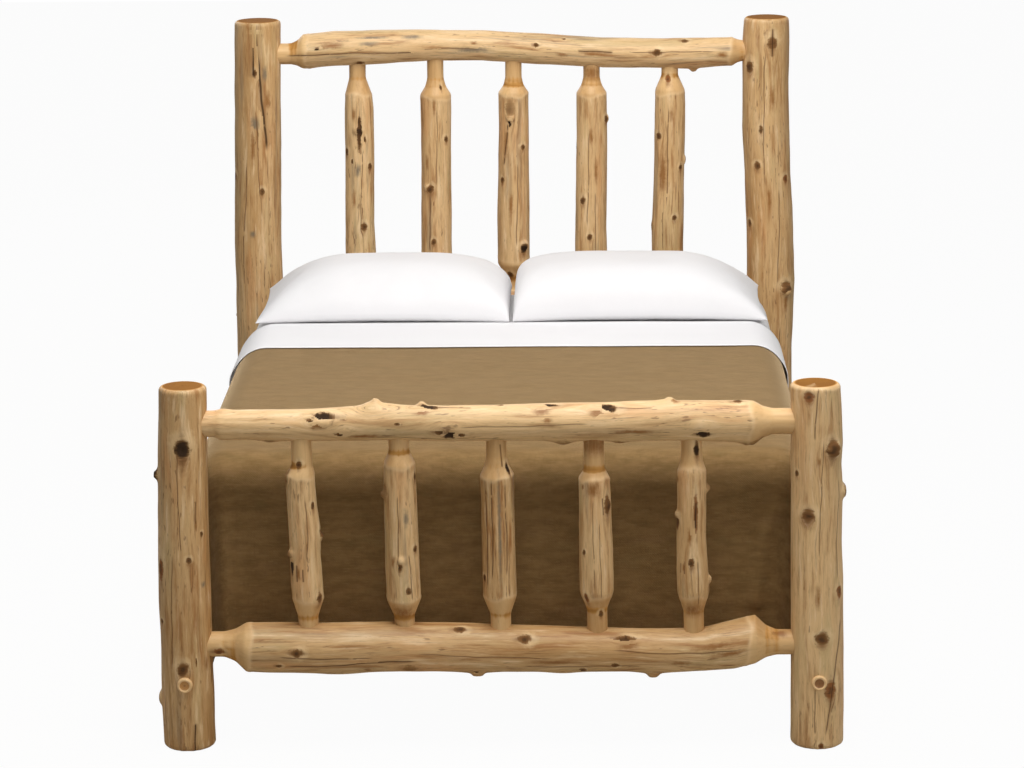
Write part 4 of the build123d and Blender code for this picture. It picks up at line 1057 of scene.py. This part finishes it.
def cover(bm, out, front, back, hem, step, waves=0.0, puckers=0.0, folds=(), head=False, flare=(0, 0, 0)):
    """Adds a cloth that lies over the mattress and hangs over its edges.

    It runs from front to back along the bed; a front of None takes it down over the foot, and head=True over
    the head too. hem(x, y) is the height it hangs down to. A fold is (x, z, x, z, height, width), on the foot
    side. flare is how far the left and right sides stand out behind the foot, and how far below the top that
    starts.
    """
    bend = bpy.context.scene.logbed_sizes.edge_roll + out
    half = MATTRESS_WIDTH / 2 + out - bend
    foot = -MATTRESS_LENGTH / 2 - out + bend if front is None else front
    back = MATTRESS_LENGTH / 2 + out - bend if head else back
    top = MATTRESS_TOP + out
    weave = bm.loops.layers.uv.get("cloth") or bm.loops.layers.uv.new("cloth")
    flat, old = {}, set(bm.faces)

    def point(x, y, z, u, v):
        vert = bm.verts.new((x, y, z))
        flat[vert] = (u, v)
        return vert

    across, lengths = even_rows([-half, half], step), even_rows([foot, back], step)
    grid = [[point(x, y, top, x, y) for y in lengths] for x in across]
    for first, second in zip(grid, grid[1:]):
        for quad in zip(first, first[1:], second[1:], second):
            bm.faces.new(reversed(quad))
    for run in hanging_edge(half, foot, back, front is None, head, step):
        longest = max(top - hem(x + dx * bend, y + dy * bend) for (x, y), (dx, dy) in run)
        rows = max(4, round((longest - bend + bend * math.pi / 2) / step))
        columns = []
        for (x, y), (dx, dy) in run:
            drop = top - hem(x + dx * bend, y + dy * bend) - bend + bend * math.pi / 2
            column = [point(x, y, top, x, y)]
            for row in range(1, rows + 1):
                length = drop * row / rows
                sideways, fall = over_edge(bend, length)
                u, v = x + dx * length, y + dy * length
                hang = ease((fall - HANG_START) / HANG_RUN)
                px, py, pz = x + dx * sideways, y + dy * sideways, top - fall
                ripple = noise.noise((px * 3, py * 3, pz)) + 0.4 * noise.noise((px * 9, py * 9, pz * 2))
                push = max(waves * ripple, -DIP) * hang
                spread = abs(dx) * ease((py + MATTRESS_LENGTH / 2 - FLARE_START) / FLARE_RUN)
                push += spread * (flare[0] if dx < 0 else flare[1]) * ease((fall - flare[2]) / FLARE_FALL)
                if dy < 0:
                    push += sum(fold_height(px, pz, fold) for fold in folds) * hang
                column.append(point(px + dx * push, py + dy * push, pz, u, v))
            columns.append(column)
        for first, second in zip(columns, columns[1:]):
            for a, b, c, d in zip(first, first[1:], second[1:], second):
                bm.faces.new((a, b, c, d))
    made = [face for face in bm.faces if face not in old]
    for face in made:
        for loop in face.loops:
            loop[weave].uv = flat[loop.vert]
    for vert in flat:
        x, y, z = vert.co
        level = noise.noise((x * 2.2, y * 4, 3)) + 0.5 * noise.noise((x * 6, y * 11, 5))
        vert.co.z += puckers * level * (1 - min((top - z) / 0.05, 1))
    bmesh.ops.remove_doubles(bm, verts=list(flat), dist=1e-4)


def cloth_piece(name, bm, thickness):
    """Gives a cloth its thickness, outwards."""
    bmesh.ops.dissolve_degenerate(bm, edges=bm.edges, dist=1e-5)
    bmesh.ops.recalc_face_normals(bm, faces=bm.faces)
    upper = [face for face in bm.faces if face.calc_center_median().z > MATTRESS_TOP]
    if sum(face.normal.z * face.calc_area() for face in upper) < 0:
        bmesh.ops.reverse_faces(bm, faces=bm.faces)
    piece = new_piece(name, bm)
    solid = piece.modifiers.new("thick", "SOLIDIFY")
    solid.thickness, solid.offset = thickness, 1
    return settle(piece)


def piping(name, node, seams, corner):
    """The round tape along a pad's edges; a seam is (height above its foot, how far inside its side)."""
    low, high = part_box(node)
    radius = bpy.context.scene.logbed_sizes.piping
    tape = bpy.data.curves.new(name, "CURVE")
    tape.dimensions, tape.bevel_depth, tape.bevel_resolution = "3D", radius, 3
    for height, inset in seams:
        bend = corner - inset
        path = [(sign_x * (high[0] - corner) + bend * math.cos(math.radians(turn)),
                 sign_y * (high[1] - corner) + bend * math.sin(math.radians(turn)), low[2] + height, 1)
                for sign_x, sign_y, start in ((1, 1, 0), (-1, 1, 90), (-1, -1, 180), (1, -1, 270))
                for turn in range(start, start + 91, 9)]
        line = tape.splines.new("POLY")
        line.points.add(len(path) - 1)
        for point, place in zip(line.points, path):
            point.co = place
        line.use_cyclic_u = True
    guide = bpy.data.objects.new(name + "_guide", tape)
    bpy.context.scene.collection.objects.link(guide)
    mesh = bpy.data.meshes.new_from_object(guide.evaluated_get(bpy.context.evaluated_depsgraph_get()))
    bpy.data.objects.remove(guide)
    mesh.shade_smooth()
    piece = bpy.data.objects.new(name, mesh)
    bpy.context.scene.collection.objects.link(piece)
    return piece


def turned_hem(side, foot, depth):
    """A hem height that runs down to the foot's hem in a slanting fold just behind the bed's corners."""
    left, right = side
    foot_end = -MATTRESS_LENGTH / 2 + bpy.context.scene.logbed_sizes.edge_roll

    def hem(x, y):
        return foot + ((left if x < 0 else right) - foot) * ease((y - foot_end) / depth)
    return hem


def stuffed(name, low, high, corner, top_edge, bottom_edge):
    """A closed rounded pad between two corners."""
    bm = bmesh.new()
    bmesh.ops.create_cube(bm, size=1)
    size = [b - a for a, b in zip(low, high)]
    middle = [(a + b) / 2 for a, b in zip(low, high)]
    bmesh.ops.scale(bm, vec=size, verts=bm.verts)
    bmesh.ops.translate(bm, vec=middle, verts=bm.verts)
    bmesh.ops.bevel(bm, geom=[e for e in bm.edges if abs(e.verts[0].co.z - e.verts[1].co.z) > size[2] / 2],
                    offset=corner, affect="EDGES", segments=9, profile=0.5, material=-1)
    for height, offset in ((high[2], top_edge), (low[2], bottom_edge)):
        rim = [e for e in bm.edges if all(abs(v.co.z - height) < 1e-6 for v in e.verts)]
        bmesh.ops.bevel(bm, geom=rim, offset=offset, affect="EDGES", segments=8, profile=0.5, material=-1,
                        clamp_overlap=True)
    bmesh.ops.recalc_face_normals(bm, faces=bm.faces)
    return new_piece(name, bm)


def swell(distance, length, power):
    """From 0 at a seam to 1 at some length away from it, round like a stuffed edge."""
    return (1 - (1 - np.clip(distance / length, 0, 1)) ** 2) ** power


# How a pillow swells from its inner end, outer end, front and back: (length of the slope, its power).
PILLOW_EDGES = (0.24, 0.28), (0.26, 0.9), (0.2, 0.42), (0.22, 0.55)
CASE_RISE = 0.02  # half the thickness of an empty case
TUCK = 0.005  # how far a pillow presses into its neighbour
PUFFS = 16  # frames that a case is blown up for


def pillow(name, node, inner, seed):
    """A stuffed pillow that has settled on the bed: two sewn sides, dented as a cloth simulation leaves them.

    Its inner end, on the right for 1 and on the left for -1, is pushed blunt by the pillow beside it.
    """
    low, high = (np.array(corner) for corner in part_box(node))
    width, depth, _ = high - low
    middle = (low + high) / 2
    bm = bmesh.new()
    plan = bm.verts.layers.float_vector.new("plan")
    bmesh.ops.create_grid(bm, x_segments=60, y_segments=40, size=1.0)
    made = bmesh.ops.duplicate(bm, geom=bm.verts[:] + bm.edges[:] + bm.faces[:])
    below = {part for part in made["geom"] if isinstance(part, bmesh.types.BMVert)}
    for vert in bm.verts:
        u, v = (0.4 * share + 0.6 * math.sin(share * math.pi / 2) for share in vert.co.xy)
        crown = math.sqrt(max(1 - u ** 4, 0) * max(1 - v ** 4, 0))
        rise = -CASE_RISE if vert in below else CASE_RISE
        wrinkle = noise.noise((u * 6 + seed, v * 6, rise * 50)) * crown
        slack = 1 + 0.012 * noise.noise((u * 2 + seed, v * 2, 0))
        vert[plan] = (u, v, rise > 0)
        vert.co = (middle[0] + u * width * 0.55 * slack, middle[1] + v * depth * 0.57 * slack,
                   rise * crown + 0.003 * wrinkle)
    bmesh.ops.remove_doubles(bm, verts=bm.verts, dist=1e-5)
    bmesh.ops.recalc_face_normals(bm, faces=bm.faces)
    u, v, above = np.array([vert[plan] for vert in bm.verts]).T
    bm.verts.layers.float_vector.remove(plan)
    piece = new_piece(name, bm)
    blow_up(piece)
    blown = (points(piece) - points(piece).min(axis=0)) / np.ptp(points(piece), axis=0)

    ends = [(1 - inner * u) * width / 2, (1 + inner * u) * width / 2,
            (1 + v) * depth / 2, (1 - v) * depth / 2]
    full = np.prod([swell(distance, *facts) for distance, facts in zip(ends, PILLOW_EDGES)], axis=0)
    full = full * (1 - 0.05 * (u - 0.2 * inner) ** 2)
    under = np.prod([swell(distance, 0.025, 0.5) for distance in ends], axis=0)
    seam = 0.05 - 0.03 * (u * v) ** 2
    tidy = np.column_stack([
        0.5 + 0.5 * u * (1 - 0.03 * (1 - v * v) * (u * inner < 0)),
        0.5 + 0.5 * v * (1 - 0.03 * (1 - u * u)),
        np.where(above > 0.5, seam + (1 - seam) * full, seam * (1 - under))])
    share = bpy.context.scene.logbed_sizes.fullness
    blown[:, 2] = np.where(above > 0.5, blown[:, 2], tidy[:, 2])
    inside = np.prod([swell(distance, 0.08, 0.7) for distance in ends], axis=0)
    place = tidy + (blown - tidy) * ((1 - share) * inside)[:, None]
    crease = [noise.noise((a * 12 + seed, b * 4, 0)) for a, b in zip(u, v)]
    place[:, 2] += 0.03 * np.array(crease) * full * (1 - full)
    place = (place - place.min(axis=0)) / np.ptp(place, axis=0)
    side = low if inner < 0 else high
    side[0] += inner * TUCK
    move_points(piece, low + place * (high - low))
    finer = piece.modifiers.new("finer", "SUBSURF")
    finer.levels = finer.render_levels = 1
    return settle(piece)


def blow_up(piece):
    """Fills a sewn case with air."""
    cloth = piece.modifiers.new("cloth", "CLOTH")
    facts = cloth.settings
    facts.quality, facts.mass = 6, 0.3
    facts.use_pressure, facts.uniform_pressure_force = True, 4
    facts.tension_stiffness = facts.compression_stiffness = 15
    facts.shear_stiffness, facts.bending_stiffness = 5, 0.5
    facts.tension_damping = facts.compression_damping = 8
    facts.air_damping = 2
    facts.effector_weights.gravity = 0
    cloth.collision_settings.use_collision = False
    cloth.point_cache.frame_start, cloth.point_cache.frame_end = 1, PUFFS
    scene = bpy.context.scene
    for tick in range(1, PUFFS + 1):
        scene.frame_set(tick)
    settle(piece)
    scene.frame_set(1)


# ---------------------------------------------------------------- operators

CAMERA_PLACE = (0.1896, -9.3266, 2.8651)
CAMERA_YAW, CAMERA_PITCH, CAMERA_ROLL = 0.0192, 0.2327, -0.0098  # in radians; it looks along y and down
SENSOR_WIDTH = 36.0
# Name, place, size, power and tint of each lamp; they all point at the middle of the bed.
LAMPS = [("lamp_over", (0.2, -1.5, 4.3), 3.0, 198, (1, 0.99, 0.97)),
         ("lamp_front", (0.5, -6.2, 3.6), 2.2, 17, (1, 1, 1)),
         ("lamp_side", (4.0, -4.0, 2.6), 2.0, 36, (1, 1, 1)),
         ("lamp_back", (-2.5, 5.5, 3.2), 2.6, 45, (1, 1, 1))]
LAMP_TARGET = Vector((0, 0, 0.5))
WHITE = (1, 1, 1, 1)
FLOOR_TINT = (0.5, 0.475, 0.42, 1)
FLOOR_HALF = 14


def put(name, data, place):
    """A camera or lamp as an object at a place."""
    made = bpy.data.objects.new(name, data)
    made.matrix_world = place
    bpy.context.scene.collection.objects.link(made)
    return made


class LOGBED_OT_stage(bpy.types.Operator):
    """Camera, floor, world and soft lamps"""
    bl_idname = "logbed.stage"
    bl_label = "Stage"

    def execute(self, context):
        stage = context.scene.logbed_stage
        ahead = Vector((-math.sin(CAMERA_YAW) * math.cos(CAMERA_PITCH),
                        math.cos(CAMERA_YAW) * math.cos(CAMERA_PITCH), -math.sin(CAMERA_PITCH)))
        level = Vector((math.cos(CAMERA_YAW), math.sin(CAMERA_YAW), 0))
        above = level.cross(ahead)
        right = level * math.cos(CAMERA_ROLL) + above * math.sin(CAMERA_ROLL)
        up = above * math.cos(CAMERA_ROLL) - level * math.sin(CAMERA_ROLL)
        lens = bpy.data.cameras.new("camera")
        lens.sensor_width, lens.lens, lens.clip_end = SENSOR_WIDTH, stage.focal, 100
        turn = Matrix((right, up, -ahead)).transposed().to_4x4()
        context.scene.camera = put("camera", lens, Matrix.Translation(CAMERA_PLACE) @ turn)
        context.scene.view_settings.view_transform = "Standard"

        for name, place, size, power, tint in LAMPS:
            light = bpy.data.lights.new(name, "AREA")
            light.size, light.energy, light.color = size, power * stage.lamps, tint
            turn = (LAMP_TARGET - Vector(place)).to_track_quat("-Z", "Y").to_matrix().to_4x4()
            put(name, light, Matrix.Translation(place) @ turn)

        # The world is plain white where it is seen, and lights the bed at the strength of the fill light.
        world = bpy.data.worlds.new("studio")
        context.scene.world = world
        world.use_nodes = True
        sky = Nodes(world.node_tree)
        sky.tree.nodes.remove(sky.tree.nodes["Background"])
        camera, glossy, through = (sky.node("LightPath", output=f"Is {ray} Ray")
                                   for ray in ("Camera", "Glossy", "Transmission"))
        fill, white = (sky.node("Background", None, {"Color": WHITE, "Strength": strength})
                       for strength in (stage.fill, 1.0))
        seen = camera.high(glossy).high(through)
        sky.show(sky.node("MixShader", None, [seen, fill, white]), "World Output")

        bm = bmesh.new()
        bmesh.ops.create_grid(bm, x_segments=1, y_segments=1, size=FLOOR_HALF)
        floor = new_piece("floor", bm, smooth=False)
        paint = Paint("floor", roughness=0.9, Base_Color=FLOOR_TINT, Specular_IOR_Level=0)
        seen = paint.node("LightPath", output="Is Camera Ray") * stage.floor_white
        lit = Wire(paint, paint.shader.outputs[0])
        glow = paint.node("Emission", None, {"Color": WHITE})
        paint.show(paint.node("MixShader", None, [seen, lit, glow]), "Material Output")
        paint_with(floor, paint.material)
        return {"FINISHED"}


class LogStep:
    """What the operators that peel logs share: a table of logs, their axes and how coarse their faces are."""
    coarse = 1.0

    def execute(self, context):
        for name, facts in self.logs.items():
            peel(name, self.axes, coarse=self.coarse, **facts)
        return {"FINISHED"}


class LOGBED_OT_posts(LogStep, bpy.types.Operator):
    """Four corner posts"""
    bl_idname = "logbed.posts"
    bl_label = "Posts"
    logs, axes, coarse = POSTS, UPRIGHT, 1.07


class LOGBED_OT_rails(LogStep, bpy.types.Operator):
    """Rails of the footboard and the headboard"""
    bl_idname = "logbed.rails"
    bl_label = "Rails"
    logs, axes = RAILS, ACROSS


class LOGBED_OT_spindles(LogStep, bpy.types.Operator):
    """Five spindles in each board"""
    bl_idname = "logbed.spindles"
    bl_label = "Spindles"
    logs, axes = SPINDLES, UPRIGHT


class LOGBED_OT_side_rails(LogStep, bpy.types.Operator):
    """The two side rails with their sawn ledges"""
    bl_idname = "logbed.side_rails"
    bl_label = "Side rails"
    logs, axes, coarse = SIDE_RAILS, ALONG, 1.4


# The solids that are shown as they are, by the start of their names, and their finishes.
DECK_FINISHES = {"slat_": "board across", "centre_beam": "board along", "centre_leg": "board upright",
                 "lag_bolts": "steel"}


class LOGBED_OT_deck(bpy.types.Operator):
    """Slats, their beam and its legs, the bolts and the buttons over them"""
    bl_idname = "logbed.deck"
    bl_label = "Slats and bolts"

    def execute(self, context):
        for name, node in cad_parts.items():
            for start, material in DECK_FINISHES.items():
                if name.startswith(start):
                    paint_with(node, finish(material))
        turn_buttons()
        return {"FINISHED"}


# Roundness of the pads' edges, and their seams as (height above the pad's foot, how far inside its side).
FOUNDATION_EDGE, MATTRESS_EDGE = 0.014, 0.03
FOUNDATION_SEAM, MATTRESS_SEAM = (0.008, 0.005), (0.007, 0.008)


class LOGBED_OT_mattress_set(bpy.types.Operator):
    """Foundation and mattress"""
    bl_idname = "logbed.mattress_set"
    bl_label = "Mattress set"

    def execute(self, context):
        roll = context.scene.logbed_sizes.edge_roll
        low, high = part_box("box_spring")
        tall = FOUNDATION_SEAM[0], high[2] - low[2] - FOUNDATION_SEAM[0]
        for name, node, body, edges, seams in (
                ("foundation", "box_spring", "foundation", (FOUNDATION_EDGE, FOUNDATION_EDGE),
                 [(height, FOUNDATION_SEAM[1]) for height in tall]),
                ("mattress.pad", "mattress", "bedding", (roll - 0.001, MATTRESS_EDGE), [MATTRESS_SEAM])):
            piece = stuffed(name, *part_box(node), roll, *edges)
            tape = piping(name.split(".")[0] + ".piping", node, seams, roll)
            for part in (piece, tape):
                paint_with(part, finish("ticking"))
            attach(tape, body)
            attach(piece, body)
            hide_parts(node)
        return {"FINISHED"}


class LOGBED_OT_sheets(bpy.types.Operator):
    """Fitted sheet, top sheet with its cuff, and the blanket"""
    bl_idname = "logbed.sheets"
    bl_label = "Sheets and blanket"

    def execute(self, context):
        sizes = context.scene.logbed_sizes
        bm = bmesh.new()
        cover(bm, FITTED_OUT, None, None, lambda x, y: FITTED_HEM, SHEET_STEP, head=True)
        fitted = cloth_piece("sheet.fitted", bm, sizes.sheet)

        # The top sheet and its cuff are two layers, joined into one cloth where it is turned back.
        turn = CUFF_FRONT + sizes.cuff
        bm = bmesh.new()
        cover(bm, TOP_OUT, None, turn - TOP_SHORT, turned_hem(*TOP_HEMS), SHEET_STEP, flare=TOP_FLARE)
        cover(bm, CUFF_OUT, CUFF_FRONT, turn, lambda x, y: CUFF_HEMS[x >= 0], CUFF_STEP, waves=0.003,
              puckers=0.001, flare=CUFF_FLARE)
        head_edges = [edge for edge in bm.edges
                      if edge.is_boundary and all(vert.co.y > turn - BLANKET_SHORT for vert in edge.verts)]
        bmesh.ops.bridge_loops(bm, edges=head_edges)
        top = cloth_piece("sheet.top", bm, sizes.sheet)

        bm = bmesh.new()
        cover(bm, BLANKET_OUT, None, turn - BLANKET_SHORT, turned_hem(*BLANKET_HEMS), BLANKET_STEP,
              waves=0.004, puckers=0.002, flare=BLANKET_FLARE, folds=FOLDS)
        wool = cloth_piece("blanket.woven", bm, sizes.blanket)
        for piece, node, material, slot in ((fitted, "fitted_sheet", "cotton", "cotton"),
                                            (top, "top_sheet", "cotton", "cotton"),
                                            (wool, "blanket", "blanket", "blanket")):
            paint_with(piece, finish(material))
            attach(piece, "bedding")
            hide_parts(node)
        return {"FINISHED"}


class LOGBED_OT_pillows(bpy.types.Operator):
    """Two pillows side by side"""
    bl_idname = "logbed.pillows"
    bl_label = "Pillows"

    def execute(self, context):
        for side, inner, seed in (("left", 1, 3), ("right", -1, 8)):
            piece = pillow(f"pillow.{side}", f"pillow_{side}", inner, seed)
            paint_with(piece, finish("cotton"))
            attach(piece, f"pillow_{side}")
            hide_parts(f"pillow_{side}")
        return {"FINISHED"}


class LOGBED_PT_panel(bpy.types.Panel):
    """Lists the bed's pieces in the sidebar"""
    bl_idname = "LOGBED_PT_panel"
    bl_label = "Log bed"
    bl_space_type = "VIEW_3D"
    bl_region_type = "UI"
    bl_category = "Log bed"

    def draw(self, context):
        for name in SETTINGS:
            group = getattr(context.scene, name)
            column = self.layout.column(align=True)
            for setting in type(group).__annotations__:
                column.prop(group, setting)
        for step in STEPS:
            self.layout.operator(step.bl_idname)


STEPS = (LOGBED_OT_stage, LOGBED_OT_posts, LOGBED_OT_rails, LOGBED_OT_spindles, LOGBED_OT_side_rails,
         LOGBED_OT_deck, LOGBED_OT_mattress_set, LOGBED_OT_sheets, LOGBED_OT_pillows)
SETTINGS = {"logbed_sizes": LOGBED_PG_sizes, "logbed_colours": LOGBED_PG_colours,
            "logbed_stage": LOGBED_PG_stage}
CLASSES = (*SETTINGS.values(), *STEPS, LOGBED_PT_panel)


def register():
    for item in CLASSES:
        bpy.utils.register_class(item)
    for name, group in SETTINGS.items():
        setattr(bpy.types.Scene, name, bpy.props.PointerProperty(
            type=group, name=name.removeprefix("logbed_").title(), description=group.__doc__))


def unregister():
    for name in SETTINGS:
        delattr(bpy.types.Scene, name)
    for item in reversed(CLASSES):
        bpy.utils.unregister_class(item)


def main():
    register()
    for step in STEPS:
        group, name = step.bl_idname.split(".")
        getattr(getattr(bpy.ops, group), name)()


if __name__ == "__main__":
    main()
